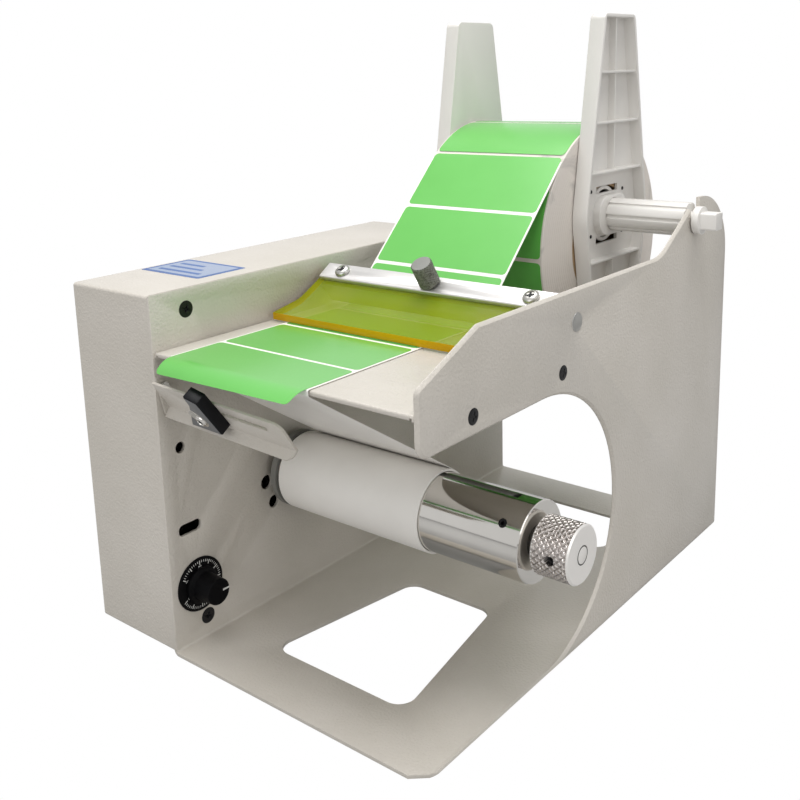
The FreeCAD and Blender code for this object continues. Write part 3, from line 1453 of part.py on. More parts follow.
def make_speed_knob():
    """Pointer knob with a skirt; its hollow foot clears the nut."""
    body = new_body("speed_body")
    foot = KNOB_FOOT
    top = "(%s + speed_knob_length)" % foot
    profile = new_sketch(body, "XZ_Plane")
    hollow = "(%s + 2 * pot_nut_thickness)" % foot
    add_outline(profile, [
        (foot, "pot_nut_radius + paper_gap"), (foot, "speed_skirt_radius"),
        (foot + " + pot_nut_thickness", "speed_skirt_radius"),
        (foot + " + 1.6 * pot_nut_thickness", "speed_knob_radius"),
        (top, "speed_knob_radius * 0.94"), (top, "0"), (hollow, "0"),
        (hollow, "pot_nut_radius + paper_gap")])
    turn_about_x(body, profile)
    face = size("dial_thickness") + size("paper_gap") + size("speed_knob_length")
    round_edges(body, "speed_knob_radius / 12", rim_at(size("speed_knob_radius") * 0.94, face))
    line = new_sketch(body, "YZ_Plane", top)
    add_outline(line, [
        ("speed_knob_radius / 3", "-pointer_width / 2"),
        ("2 * speed_knob_radius", "-pointer_width / 2"),
        ("2 * speed_knob_radius", "pointer_width / 2"),
        ("speed_knob_radius / 3", "pointer_width / 2")])
    pocket(body, line, "pointer_width")
    return finish(body, "speed_knob", y="dial_y", z="dial_z")


def make_pot_shaft():
    """Turning spindle that joins the knob to the control."""
    length = "dial_thickness + 3 * pot_nut_thickness + plate + paper_gap"
    spindle = rod("x", "pot_shaft_radius", length)
    return finish(spindle, "pot_shaft", KNOB_FOOT + " + 2 * pot_nut_thickness - (%s)" % length,
                  "dial_y", "dial_z")


# Drive in the box: gear motor on a plate that stands off the left plate

GEARBOX_FACE = "(-plate - gearbox_offset)"


def make_gearbox():
    block = box(GEARBOX_FACE + " - gearbox_depth", GEARBOX_FACE,
                "takeup_y - gearbox_height / 2", "takeup_y - gearbox_height / 2 + gearbox_length",
                "takeup_z - gearbox_height / 2", "takeup_z + gearbox_height / 2")
    bore = rod("x", "drive_stub_radius + running_clearance", "gearbox_depth",
               GEARBOX_FACE + " - 0.7 * gearbox_depth", "takeup_y", "takeup_z")
    return finish(cut(block, bore), "gearbox")


def make_motor():
    can = rod("y", "motor_radius", "motor_length")
    return finish(can, "drive_motor", GEARBOX_FACE + " - gearbox_depth / 2",
                  "takeup_y - gearbox_height / 2 + gearbox_length", "takeup_z")


STANDOFF_SPOTS = [
    ("takeup_y %s motor_post_y" % side_y, "takeup_z %s motor_post_z" % side_z)
    for side_y in ("-", "+") for side_z in ("-", "+")]


def make_motor_plate():
    sheet_box = box(GEARBOX_FACE, GEARBOX_FACE + " + bracket_plate",
                    "takeup_y - motor_post_y - 2 * post_radius",
                    "takeup_y + motor_post_y + 2 * post_radius",
                    "takeup_z - motor_post_z - 2 * post_radius",
                    "takeup_z + motor_post_z + 2 * post_radius")
    hole = rod("x", "coupling_radius + coupling_hole_gap", "4 * bracket_plate",
               GEARBOX_FACE + " - bracket_plate", "takeup_y", "takeup_z")
    return finish(cut(sheet_box, hole), "motor_plate")


def make_motor_standoffs():
    posts = [rod("x", "post_radius", "gearbox_offset - bracket_plate",
                 GEARBOX_FACE + " + bracket_plate", y, z) for y, z in STANDOFF_SPOTS]
    return finish(fuse(*posts), "motor_standoffs")


def make_drive_stub():
    stub = rod("x", "drive_stub_radius", "gearbox_depth / 2 + drive_stub_length")
    return finish(stub, "drive_shaft", GEARBOX_FACE + " - gearbox_depth / 2", "takeup_y",
                  "takeup_z")


def make_coupling():
    """Sleeve that joins the gearbox shaft to the roller shaft."""
    start = GEARBOX_FACE + " + bracket_plate"
    end = "(-plate - bush_tail - running_clearance * 5)"
    sleeve = rod("x", "coupling_radius", "%s - (%s)" % (end, start), start, "takeup_y",
                 "takeup_z")
    small = rod("x", "drive_stub_radius", "drive_stub_length", start + " - bracket_plate",
                "takeup_y", "takeup_z")
    large = rod("x", "takeup_shaft_radius", "gearbox_offset", SHAFT_START, "takeup_y",
                "takeup_z")
    return finish(cut(sleeve, small, large), "drive_coupling")


BOARD_FACE = "(-plate - board_offset)"


def make_control_board():
    board = box(BOARD_FACE + " - board_thickness", BOARD_FACE, "board_front", "board_rear",
                "board_low", "board_high")
    spots = board_spots()
    holes = [rod("x", "board_post_radius / 2", "4 * board_thickness",
                 BOARD_FACE + " - 2 * board_thickness", y, z) for y, z in spots]
    return finish(cut(board, *holes), "control_board")


def board_spots():
    return [(y, z) for y in ("board_front + board_post_inset", "board_rear - board_post_inset")
            for z in ("board_low + board_post_inset", "board_high - board_post_inset")]


def make_board_posts():
    posts = [rod("x", "board_post_radius", "board_offset", BOARD_FACE, y, z)
             for y, z in board_spots()]
    return finish(fuse(*posts), "board_posts")


def make_board_parts():
    """Transformer block, two capacitors and a row of plugs, joined to the board's far face."""
    face = BOARD_FACE + " - board_thickness"
    span_y, span_z = "(board_rear - board_front)", "(board_high - board_low)"
    block = box(face + " - block_height", face, "board_front + 0.45 * " + span_y,
                "board_front + 0.72 * " + span_y, "board_low + 0.25 * " + span_z,
                "board_low + 0.7 * " + span_z)
    plugs = box(face + " - plug_height", face, "board_front + 0.15 * " + span_y,
                "board_front + 0.85 * " + span_y, "board_low + 0.02 * " + span_z,
                "board_low + 0.12 * " + span_z)
    cans = [rod("x", "can_radius", "can_height", face + " - can_height",
                "board_front + %s * %s" % (share, span_y), "board_low + 0.5 * " + span_z)
            for share in ("0.16", "0.34")]
    return finish(fuse(block, plugs, *cans), "board_parts")


# Rear wall of the box: socket for the lead and the rocker switch

BOX_MIDDLE = "(-plate - box_width / 2)"


def make_power_inlet():
    barrel = rod("y", "socket_radius", "socket_depth", BOX_MIDDLE, "box_depth - socket_depth",
                 "socket_z")
    lip = rod("y", "1.4 * socket_radius", "socket_lip", BOX_MIDDLE, "box_depth", "socket_z")
    bore = rod("y", "socket_bore_radius", "socket_depth", BOX_MIDDLE,
               "box_depth - 0.8 * socket_depth + socket_lip", "socket_z")
    pin = rod("y", "socket_bore_radius / 3", "0.7 * socket_depth", BOX_MIDDLE,
              "box_depth - 0.8 * socket_depth", "socket_z")
    return finish(fuse(cut(fuse(barrel, lip), bore), pin), "power_inlet")


def make_inlet_nut():
    outer = rod("y", "1.4 * socket_radius", "socket_lip", BOX_MIDDLE,
                "box_depth - cover_wall - socket_lip", "socket_z")
    bore = rod("y", "socket_radius", "4 * socket_lip", BOX_MIDDLE, "box_depth - 4 * socket_lip",
               "socket_z")
    return finish(cut(outer, bore), "inlet_nut")


ROCKER_Y = "(box_depth + switch_lip - rocker_radius + rocker_rise)"


def make_switch_housing():
    half_width, half_height = "switch_width / 2", "switch_height / 2"
    case = box(BOX_MIDDLE + " - " + half_width, BOX_MIDDLE + " + " + half_width,
               "box_depth - switch_depth", "box_depth", "switch_z - " + half_height,
               "switch_z + " + half_height)
    frame = box(BOX_MIDDLE + " - %s - switch_lip" % half_width,
                BOX_MIDDLE + " + %s + switch_lip" % half_width, "box_depth",
                "box_depth + switch_lip", "switch_z - %s - switch_lip" % half_height,
                "switch_z + %s + switch_lip" % half_height)
    well = box(BOX_MIDDLE + " - 0.8 * " + half_width, BOX_MIDDLE + " + 0.8 * " + half_width,
               "box_depth - 0.8 * switch_depth", "box_depth + 2 * switch_lip",
               "switch_z - rocker_radius - switch_lip / 2",
               "switch_z + rocker_radius + switch_lip / 2")
    return finish(cut(fuse(case, frame), well), "switch_housing")


def make_rocker():
    """Rocker drawn about its own pivot."""
    drum = rod("x", "rocker_radius", "0.8 * switch_width - paper_gap",
               "-0.4 * switch_width + paper_gap / 2")
    low = box("-switch_width", "switch_width", "-2 * rocker_radius", "-rocker_radius / 2",
              "-2 * rocker_radius", "2 * rocker_radius")
    return finish(cut(drum, low), "switch_rocker", BOX_MIDDLE, ROCKER_Y, "switch_z")


make_chassis()
make_side_cover()
make_pillars()
make_pillar_screws()
make_cover_screws()
make_feet()
make_table()
make_table_screws()
make_cross_shaft()
make_press_beam()
make_press_bar()
make_press_sheet()
make_bar_screws()
make_thumb_screw()
make_sensor_bracket()
make_bracket_screws()
make_sensor_body()
make_sensor_screw()
make_takeup_shaft()
make_takeup_bush()
make_takeup_flange()
make_takeup_core()
make_takeup_clip()
make_clip_ring()
make_clip_stem()
make_clip_screw()
make_pull_knob()
make_set_screw()
make_wound_liner()
make_roll_core()
make_label_roll()
make_liner_web()
make_peeled_label()
make_reel_shaft()
make_flange("reel_flange_right", "web_right + flange_side_gap", None)
make_flange("reel_flange_left", "web_left - flange_side_gap", Rotation(Vector(0, 0, 1), 180))
make_speed_pot()
make_pot_shaft()
make_pot_nut()
make_speed_dial()
make_speed_knob()
make_gearbox()
make_motor()
make_motor_plate()
make_motor_standoffs()
make_drive_stub()
make_coupling()
make_control_board()
make_board_posts()
make_board_parts()
make_power_inlet()
make_inlet_nut()
make_switch_housing()
make_rocker()

doc.recompute()
for item in doc.Objects:
    if "Invalid" in item.State or "Error" in item.State:
        raise ValueError("%s failed to build" % item.Label)
for item in SUB_PARTS:
    if item.Shape.isNull() or not item.Shape.isValid() or not item.Shape.Solids:
        raise ValueError("%s has no valid solid" % item.Label)

os.makedirs("parts", exist_ok=True)
for item in SUB_PARTS:
    item.Shape.exportStep("parts/%s.step" % item.Label)
    print(item.Label, len(item.Shape.Solids), round(item.Shape.Volume))
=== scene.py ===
import math

import bmesh
import bpy
from mathutils import Matrix, Vector


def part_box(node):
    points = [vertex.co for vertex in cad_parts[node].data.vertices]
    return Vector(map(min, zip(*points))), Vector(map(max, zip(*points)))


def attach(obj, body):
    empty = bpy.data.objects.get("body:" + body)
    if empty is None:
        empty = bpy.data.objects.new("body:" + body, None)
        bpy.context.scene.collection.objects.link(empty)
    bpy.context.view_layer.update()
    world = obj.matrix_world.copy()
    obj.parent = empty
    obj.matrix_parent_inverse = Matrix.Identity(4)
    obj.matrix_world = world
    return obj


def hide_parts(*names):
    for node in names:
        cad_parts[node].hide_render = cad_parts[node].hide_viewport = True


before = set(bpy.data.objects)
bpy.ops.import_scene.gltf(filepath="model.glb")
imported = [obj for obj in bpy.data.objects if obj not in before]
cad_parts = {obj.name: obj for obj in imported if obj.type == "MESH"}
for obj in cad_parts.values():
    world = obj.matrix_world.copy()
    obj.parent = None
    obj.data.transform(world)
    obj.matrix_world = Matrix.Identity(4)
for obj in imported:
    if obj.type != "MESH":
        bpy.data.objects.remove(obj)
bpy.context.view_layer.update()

# The camera stands to the right of the machine and above it, and looks down along the table.
# Its place, its three turns and its lens were solved from the photograph's straight edges.
MM = 0.001
camera_azimuth = math.radians(39.366)
camera_elevation = math.radians(11.847)
camera_roll = math.radians(-1.61)
camera_spot = Vector((372.87, -501.88, 334.67)) * MM
backward = Vector((math.sin(camera_azimuth) * math.cos(camera_elevation),
                   -math.cos(camera_azimuth) * math.cos(camera_elevation),
                   math.sin(camera_elevation)))
level_right = Vector((0, 0, 1)).cross(backward).normalized()
level_up = backward.cross(level_right)
rightward = level_right * math.cos(camera_roll) + level_up * math.sin(camera_roll)
upward = backward.cross(rightward)
camera_data = bpy.data.cameras.new("photo_view")
camera_data.sensor_width = 36
camera_data.lens = 45.07
camera_data.shift_y = -0.15
camera_data.clip_start = 0.01
camera = bpy.data.objects.new("photo_view", camera_data)
bpy.context.scene.collection.objects.link(camera)
camera.matrix_world = Matrix.Translation(camera_spot) @ Matrix(
    (rightward, upward, backward)).transposed().to_4x4()
bpy.context.scene.camera = camera
bpy.context.scene.view_settings.view_transform = "Standard"


# Studio light: a wide soft lamp overhead and weak ones from the right and the front, in a
# white room. The lamps stay plain, so that each paint renders about as it is written.
def soft_lamp(name, spot, aim, width, power):
    """Square lamp at a spot, turned towards the point that it lights."""
    lamp_data = bpy.data.lights.new(name, "AREA")
    lamp_data.size = width
    lamp_data.energy = power
    lamp = bpy.data.objects.new(name, lamp_data)
    bpy.context.scene.collection.objects.link(lamp)
    lamp.location = spot
    lamp.rotation_euler = (Vector(aim) - Vector(spot)).to_track_quat("-Z", "Y").to_euler()


soft_lamp("overhead", (0.0, -0.1, 1.6), (0, 0, 0.1), 1.4, 24)
soft_lamp("right_fill", (1.5, -0.2, 0.7), (0, 0, 0.12), 1.0, 3.5)
soft_lamp("front_fill", (0.15, -1.7, 0.45), (0, 0, 0.1), 1.2, 5.5)


# White room: a plain shell that stands round the machine on all sides. It is white for the
# eye, nearly white in polished metal, and dimmer as a light.
room = bpy.data.worlds.new("white_room")
bpy.context.scene.world = room
room.use_nodes = True
room_nodes, room_links = room.node_tree.nodes, room.node_tree.links
room_seen = room_nodes.new("ShaderNodeLightPath")
room_strength = room_nodes.new("ShaderNodeMapRange")
room_strength.inputs["To Min"].default_value = 0.5
room_strength.inputs["To Max"].default_value = 1.0
room_nodes["Background"].inputs["Color"].default_value = (1, 1, 1, 1)
room_mirrored = room_nodes.new("ShaderNodeMath")
room_mirrored.operation = "MULTIPLY_ADD"
room_mirrored.inputs[1].default_value = 0.45
room_links.new(room_seen.outputs["Is Glossy Ray"], room_mirrored.inputs[0])
room_links.new(room_seen.outputs["Is Camera Ray"], room_mirrored.inputs[2])
room_links.new(room_mirrored.outputs[0], room_strength.inputs["Value"])
room_links.new(room_strength.outputs["Result"], room_nodes["Background"].inputs["Strength"])


# Floor: a paper sheet that runs out of sight on all sides. It is white for the eye, and grey
# for the light that it returns to the machine.
floor_mesh = bmesh.new()
bmesh.ops.create_grid(floor_mesh, x_segments=1, y_segments=1, size=6)
floor_data = bpy.data.meshes.new("studio_floor")
floor_mesh.to_mesh(floor_data)
floor_mesh.free()
floor = bpy.data.objects.new("studio_floor", floor_data)
bpy.context.scene.collection.objects.link(floor)
floor_paint = bpy.data.materials.new("studio_floor")
floor_paint.use_nodes = True
floor_nodes, floor_links = floor_paint.node_tree.nodes, floor_paint.node_tree.links
floor_nodes["Principled BSDF"].inputs["Base Color"].default_value = (0.45, 0.45, 0.45, 1)
floor_nodes["Principled BSDF"].inputs["Roughness"].default_value = 0.9
floor_glow = floor_nodes.new("ShaderNodeEmission")
floor_mix = floor_nodes.new("ShaderNodeMixShader")
floor_seen = floor_nodes.new("ShaderNodeLightPath")
floor_links.new(floor_seen.outputs["Is Camera Ray"], floor_mix.inputs["Fac"])
floor_links.new(floor_nodes["Principled BSDF"].outputs[0], floor_mix.inputs[1])
floor_links.new(floor_glow.outputs[0], floor_mix.inputs[2])
floor_links.new(floor_mix.outputs[0], floor_nodes["Material Output"].inputs["Surface"])
floor_data.materials.append(floor_paint)


# Chassis: one sheet of steel bent into a U, with a hard baked powder coat. The coat has a
# fine orange peel, slightly uneven colour, and rounds every cut edge a little.
def paint(red, green, blue):
    """A colour given as it looks on a screen, 0 to 255, for a shader."""
    return tuple(((c / 255 + 0.055) / 1.055) ** 2.4 for c in (red, green, blue)) + (1,)


def build_grain():
    """Shared effect: fine grain for gloss and bump, and a slow drift between two colours."""
    group = bpy.data.node_groups.new("worked_surface", "ShaderNodeTree")
    sockets = (("Main Color", "NodeSocketColor"), ("Second Color", "NodeSocketColor"),
               ("Drift Scale", "NodeSocketFloat"), ("Grain Scale", "NodeSocketFloat"),
               ("Stretch", "NodeSocketVector"), ("Roughness", "NodeSocketFloat"),
               ("Roughness Spread", "NodeSocketFloat"), ("Bump", "NodeSocketFloat"))
    for name, kind in sockets:
        group.interface.new_socket(name, in_out="INPUT", socket_type=kind)
    for name, kind in (("Color", "NodeSocketColor"), ("Roughness", "NodeSocketFloat"),
                       ("Normal", "NodeSocketVector"), ("Grain", "NodeSocketFloat")):
        group.interface.new_socket(name, in_out="OUTPUT", socket_type=kind)
    nodes, links = group.nodes, group.links
    given = nodes.new("NodeGroupInput")
    result = nodes.new("NodeGroupOutput")
    place = nodes.new("ShaderNodeTexCoord")
    stretch = nodes.new("ShaderNodeVectorMath")
    stretch.operation = "MULTIPLY"
    grain = nodes.new("ShaderNodeTexNoise")
    grain.inputs["Detail"].default_value = 2
    drift = nodes.new("ShaderNodeTexNoise")
    drift.inputs["Detail"].default_value = 4
    spread = nodes.new("ShaderNodeMapRange")
    spread.inputs["From Min"].default_value = 0.35
    spread.inputs["From Max"].default_value = 0.65
    blend = nodes.new("ShaderNodeMix")
    blend.data_type = "RGBA"
    middle = nodes.new("ShaderNodeMath")
    middle.operation = "SUBTRACT"
    middle.inputs[1].default_value = 0.5
    gloss = nodes.new("ShaderNodeMath")
    gloss.operation = "MULTIPLY_ADD"
    bump = nodes.new("ShaderNodeBump")
    bump.inputs["Distance"].default_value = 0.0004
    links.new(place.outputs["Object"], stretch.inputs[0])
    links.new(given.outputs["Stretch"], stretch.inputs[1])
    links.new(stretch.outputs[0], grain.inputs["Vector"])
    links.new(given.outputs["Grain Scale"], grain.inputs["Scale"])
    links.new(place.outputs["Object"], drift.inputs["Vector"])
    links.new(given.outputs["Drift Scale"], drift.inputs["Scale"])
    links.new(drift.outputs["Fac"], spread.inputs["Value"])
    links.new(spread.outputs["Result"], blend.inputs["Factor"])
    links.new(given.outputs["Main Color"], blend.inputs["A"])
    links.new(given.outputs["Second Color"], blend.inputs["B"])
    links.new(grain.outputs["Fac"], middle.inputs[0])
    links.new(middle.outputs[0], gloss.inputs[0])
    links.new(given.outputs["Roughness Spread"], gloss.inputs[1])
    links.new(given.outputs["Roughness"], gloss.inputs[2])
    links.new(grain.outputs["Fac"], bump.inputs["Height"])
    links.new(given.outputs["Bump"], bump.inputs["Strength"])
    links.new(blend.outputs["Result"], result.inputs["Color"])
    links.new(gloss.outputs[0], result.inputs["Roughness"])
    links.new(bump.outputs["Normal"], result.inputs["Normal"])
    links.new(grain.outputs["Fac"], result.inputs["Grain"])
    return group


worked_surface = build_grain()


def finish_of(name, main, second, grain, roughness, spread=0.1, bump=0.1, drift=25,
              stretch=(1, 1, 1), **plain):
    """Material with the shared grain; plain values go to the shader's own sockets."""
    material = bpy.data.materials.new(name)
    material.use_nodes = True
    nodes, links = material.node_tree.nodes, material.node_tree.links
    shader = nodes["Principled BSDF"]
    surface = nodes.new("ShaderNodeGroup")
    surface.node_tree = worked_surface
    values = {"Main Color": main, "Second Color": second, "Drift Scale": drift,
              "Grain Scale": grain, "Stretch": stretch, "Roughness": roughness,
              "Roughness Spread": spread, "Bump": bump}
    for socket, value in values.items():
        surface.inputs[socket].default_value = value
    links.new(surface.outputs["Color"], shader.inputs["Base Color"])
    links.new(surface.outputs["Roughness"], shader.inputs["Roughness"])
    links.new(surface.outputs["Normal"], shader.inputs["Normal"])
    for socket, value in plain.items():
        shader.inputs[socket.replace("_", " ")].default_value = value
    return material


def add_piece(mesh, name, body, material, stands_for=(), crease=35):
    """Make a piece from a finished bmesh and let it ride on a body."""
    data = bpy.data.meshes.new(name)
    mesh.to_mesh(data)
    mesh.free()
    data.shade_smooth()
    data.set_sharp_from_angle(angle=math.radians(crease))
    data.materials.append(material)
    piece = bpy.data.objects.new(name, data)
    bpy.context.scene.collection.objects.link(piece)
    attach(piece, body)
    if stands_for:
        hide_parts(*stands_for)
    return piece


def eased(node, body, material, width, segments=2):
    """Copy of a solid whose sharp edges are rounded, as paint, moulds and files leave them."""
    mesh = bmesh.new()
    mesh.from_mesh(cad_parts[node].data)
    bmesh.ops.remove_doubles(mesh, verts=mesh.verts, dist=0.00001)
    bmesh.ops.dissolve_limit(mesh, angle_limit=math.radians(0.6), verts=mesh.verts,
                             edges=mesh.edges, use_dissolve_boundaries=False,
                             delimit={"NORMAL"})
    sharp = [e for e in mesh.edges if e.is_manifold and e.calc_face_angle(0) > math.radians(40)]
    bmesh.ops.bevel(mesh, geom=sharp, offset=width, offset_type="OFFSET", segments=segments,
                    profile=0.5, affect="EDGES", clamp_overlap=True, material=-1)
    return add_piece(mesh, node + "_finished", body, material, [node])


powder_coat = finish_of("powder_coat", paint(203, 197, 188), paint(197, 191, 181), 620, 0.38,
                        spread=0.16, bump=1.0, drift=18, Coat_Weight=0.22, Coat_Roughness=0.14)
eased("chassis", "frame", powder_coat, 0.35 * MM)


# Drive box: a folded cover in the same coat, four spacers inside it, and four screws on its
# outer wall. Black flush screws hold the spacers to the left plate.
eased("side_cover", "frame", powder_coat, 0.5 * MM, 3)


def cut_cross(mesh, centre, axis, reach, width, depth):
    """Press a cross recess into every flat face point that lies within the cross."""
    side = axis.orthogonal().normalized()
    other = axis.cross(side)
    for vert in mesh.verts:
        offset = vert.co - centre
        along, across = abs(offset.dot(side)), abs(offset.dot(other))
        inside = (along < reach and across < width) or (across < reach and along < width)
        if inside and abs(offset.dot(axis)) < depth / 4:
            vert.co -= axis * depth * (1 - max(along, across) / reach * 0.45)


def screw_head(centre, axis, radius, dome, recess):
    """Round head with a cross recess; its rim lies at the centre point."""
    mesh = bmesh.new()
    bmesh.ops.create_grid(mesh, x_segments=28, y_segments=28, size=radius)
    for vert in mesh.verts:
        flat = Vector((vert.co.x, vert.co.y, 0))
        largest = max(abs(flat.x), abs(flat.y))
        if flat.length > 0:
            vert.co = flat * (largest / flat.length)
    cut_cross(mesh, Vector(), Vector((0, 0, 1)), radius * 0.56, radius * 0.13, recess)
    for vert in mesh.verts:
        share = min(1, math.hypot(vert.co.x, vert.co.y) / radius)
        vert.co.z += dome * math.sqrt(max(0, 1 - share ** 2.6))
    rim = [e for e in mesh.edges if e.is_boundary]
    wall = bmesh.ops.extrude_edge_only(mesh, edges=rim)
    skirt = [v for v in wall["geom"] if isinstance(v, bmesh.types.BMVert)]
    bmesh.ops.translate(mesh, verts=skirt, vec=(0, 0, -radius * 0.25))
    bmesh.ops.recalc_face_normals(mesh, faces=mesh.faces)
    turn = Vector(axis).to_track_quat("Z", "Y").to_matrix().to_4x4()
    twist = Matrix.Rotation(math.radians(25), 4, "Z")
    bmesh.ops.transform(mesh, matrix=Matrix.Translation(centre) @ turn @ twist,
                        verts=mesh.verts)
    return mesh


black_oxide = finish_of("black_oxide", paint(18, 18, 20), paint(12, 12, 14), 1500, 0.4,
                        bump=0.15, Specular_IOR_Level=0.3)
zinc_plate = finish_of("zinc_plate", paint(196, 194, 188), paint(178, 178, 176), 1200, 0.3,
                       bump=0.1, Metallic=1.0)
steel_turned = finish_of("turned_steel", paint(176, 175, 172), paint(160, 160, 158), 700, 0.28,
                         stretch=(6, 1, 1), bump=0.12, Metallic=1.0)


def centre_of(node):
    """Middle of the box round a node."""
    low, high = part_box(node)
    return (low + high) / 2


def solid_boxes(node):
    """Low and high corner of each separate solid of a node, in order round its middle."""
    mesh = bmesh.new()
    mesh.from_mesh(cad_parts[node].data)
    bmesh.ops.remove_doubles(mesh, verts=mesh.verts, dist=0.00001)
    waiting = set(mesh.verts)
    boxes = []
    while waiting:
        found = [waiting.pop()]
        island = list(found)
        while found:
            vert = found.pop()
            for edge in vert.link_edges:
                other = edge.other_vert(vert)
                if other in waiting:
                    waiting.remove(other)
                    found.append(other)
                    island.append(other)
        low = Vector([min(v.co[i] for v in island) for i in range(3)])
        high = Vector([max(v.co[i] for v in island) for i in range(3)])
        boxes.append((low, high))
    mesh.free()
    middle = centre_of(node)

    def turn_of(box):
        """Angle round the middle; the rear right or the rear top solid comes first."""
        inward = middle - box[0]
        return math.atan2(inward.y, inward.x + inward.z)

    return sorted(boxes, key=turn_of)


def dress_node(node, material):
    """Give a solid that shows as it is its own finish."""
    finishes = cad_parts[node].data.materials
    finishes.clear()
    finishes.append(material)


def add_heads(node, body, axis, radius, dome, recess, lift, material):
    """One cross-recess head on each screw of a node; the CAD stems stay as they are."""
    dress_node(node, material)
    axis = Vector(axis)
    for number, (low, high) in enumerate(solid_boxes(node)):
        middle = (low + high) / 2
        reach = (high - low) / 2
        outer = middle + Vector([axis[i] * reach[i] for i in range(3)]) + axis * lift
        add_piece(screw_head(outer, axis, radius, dome, recess), "%s_head_%d" % (node, number),
                  body, material)


add_heads("cover_screws", "frame", (-1, 0, 0), radius=3.9 * MM, dome=0.9 * MM,
          recess=1.2 * MM, lift=0.02 * MM, material=zinc_plate)
add_heads("pillar_screws", "frame", (1, 0, 0), radius=4.8 * MM, dome=0.15 * MM,
          recess=1.5 * MM, lift=0.05 * MM, material=black_oxide)
dress_node("cover_pillars", steel_turned)


# Sticker on top of the drive box: a plain printed card with a coloured border and three plain
# bars. It is glued to the paint.
def flat_card(x0, x1, y0, y1, z, corner, thickness):
    """Thin card with rounded corners."""
    mesh = bmesh.new()
    bmesh.ops.create_grid(mesh, x_segments=1, y_segments=1, size=1)
    for vert in mesh.verts:
        vert.co.x = x0 if vert.co.x < 0 else x1
        vert.co.y = y0 if vert.co.y < 0 else y1
    bmesh.ops.bevel(mesh, geom=mesh.verts[:], offset=corner, offset_type="OFFSET", segments=5,
                    profile=0.5, affect="VERTICES", material=-1)
    top = bmesh.ops.extrude_face_region(mesh, geom=mesh.faces[:])
    lifted = [v for v in top["geom"] if isinstance(v, bmesh.types.BMVert)]
    bmesh.ops.translate(mesh, verts=lifted, vec=(0, 0, thickness))
    bmesh.ops.translate(mesh, verts=mesh.verts, vec=(0, 0, z))
    bmesh.ops.recalc_face_normals(mesh, faces=mesh.faces)
    return mesh


cover_low, cover_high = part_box("side_cover")
sticker_left = cover_low.x + 4 * MM
sticker_right = cover_high.x - 12 * MM
sticker_front = cover_low.y + 46 * MM
sticker_rear = sticker_front + 38 * MM
border_width = 3 * MM
sticker_blue = finish_of("sticker_blue", paint(24, 78, 150), paint(34, 90, 160), 500, 0.3)
sticker_white = finish_of("sticker_white", paint(138, 156, 182), paint(150, 162, 186), 500, 0.3)
sticker_top = cover_high.z + 0.02 * MM
add_piece(flat_card(sticker_left, sticker_right, sticker_front, sticker_rear, sticker_top,
                    1.5 * MM, 0.08 * MM), "sticker_border", "frame", sticker_blue)
add_piece(flat_card(sticker_left + border_width, sticker_right - border_width,
                    sticker_front + border_width, sticker_rear - border_width,
                    sticker_top + 0.09 * MM, 1 * MM, 0.05 * MM),
          "sticker_field", "frame", sticker_white)
band_step = (sticker_rear - sticker_front) / 6
for band in range(3):
    band_front = sticker_front + band_step * (1.2 + band * 1.35)
    add_piece(flat_card(sticker_left + 7 * MM, sticker_right - (9 + 8 * band) * MM, band_front,
                        band_front + band_step * 0.5, sticker_top + 0.15 * MM, 0.4 * MM,
                        0.04 * MM), "sticker_band_%d" % band, "frame", sticker_blue)


# Rubber feet: four short black cones, moulded in rubber and stuck under the base near its
# corners.
foot_rubber = finish_of("foot_rubber", paint(28, 28, 28), paint(38, 38, 37), 1400, 0.75, bump=0.3)
dress_node("rubber_feet", foot_rubber)


# Peel table: a thin coated sheet between the plates. Its front edge is folded back on itself,
# so that the paper turns round a smooth nose. Black countersunk screws hold its flanges.
eased("peel_table", "frame", powder_coat, 0.2 * MM)
dress_node("table_screws", black_oxide)
right_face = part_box("chassis")[1].x
for number, (low, high) in enumerate(solid_boxes("table_screws")):
    middle = (low + high) / 2
    on_right = middle.x > centre_of("peel_table").x
    if on_right:
        add_piece(screw_head(Vector((right_face + 0.03 * MM, middle.y, middle.z)),
                             Vector((1, 0, 0)), radius=4.2 * MM, dome=0.35 * MM,
                             recess=1.5 * MM),
                  "table_screw_head_%d" % number, "frame", black_oxide)


# Cross shaft: a ground steel rod through both plates. The press bar hangs on it. Its right end
# is riveted over and polished, so it shows as a shallow bright disc on the plate.
dress_node("cross_shaft", steel_turned)


def turned(profile, spot, axis, steps=96, angle=2 * math.pi):
    """Turned part: a profile of (distance along, radius) pairs spun about an axis."""
    mesh = bmesh.new()
    line = [mesh.verts.new((radius, 0, along)) for along, radius in profile]
    edges = [mesh.edges.new(pair) for pair in zip(line, line[1:])]
    bmesh.ops.spin(mesh, geom=line + edges, cent=(0, 0, 0), axis=(0, 0, 1), dvec=(0, 0, 0),
                   angle=angle, steps=steps, use_merge=angle > 6, use_duplicate=False)
    bmesh.ops.remove_doubles(mesh, verts=mesh.verts, dist=0.000001)
    bmesh.ops.recalc_face_normals(mesh, faces=mesh.faces)
    turn = Vector(axis).to_track_quat("Z", "Y").to_matrix().to_4x4()
    bmesh.ops.transform(mesh, matrix=Matrix.Translation(spot) @ turn, verts=mesh.verts)
    return mesh


shaft_line = centre_of("cross_shaft")
shaft_end_level = 0.02 * MM
add_piece(turned([(shaft_end_level, 0), (shaft_end_level, 5.4 * MM), (0.3 * MM, 5.2 * MM),
                  (0.35 * MM, 4.7 * MM), (0.2 * MM, 4.4 * MM), (0.2 * MM, 0)],
                 Vector((right_face, shaft_line.y, shaft_line.z)), (1, 0, 0), 64),
          "cross_shaft_end", "frame", zinc_plate)


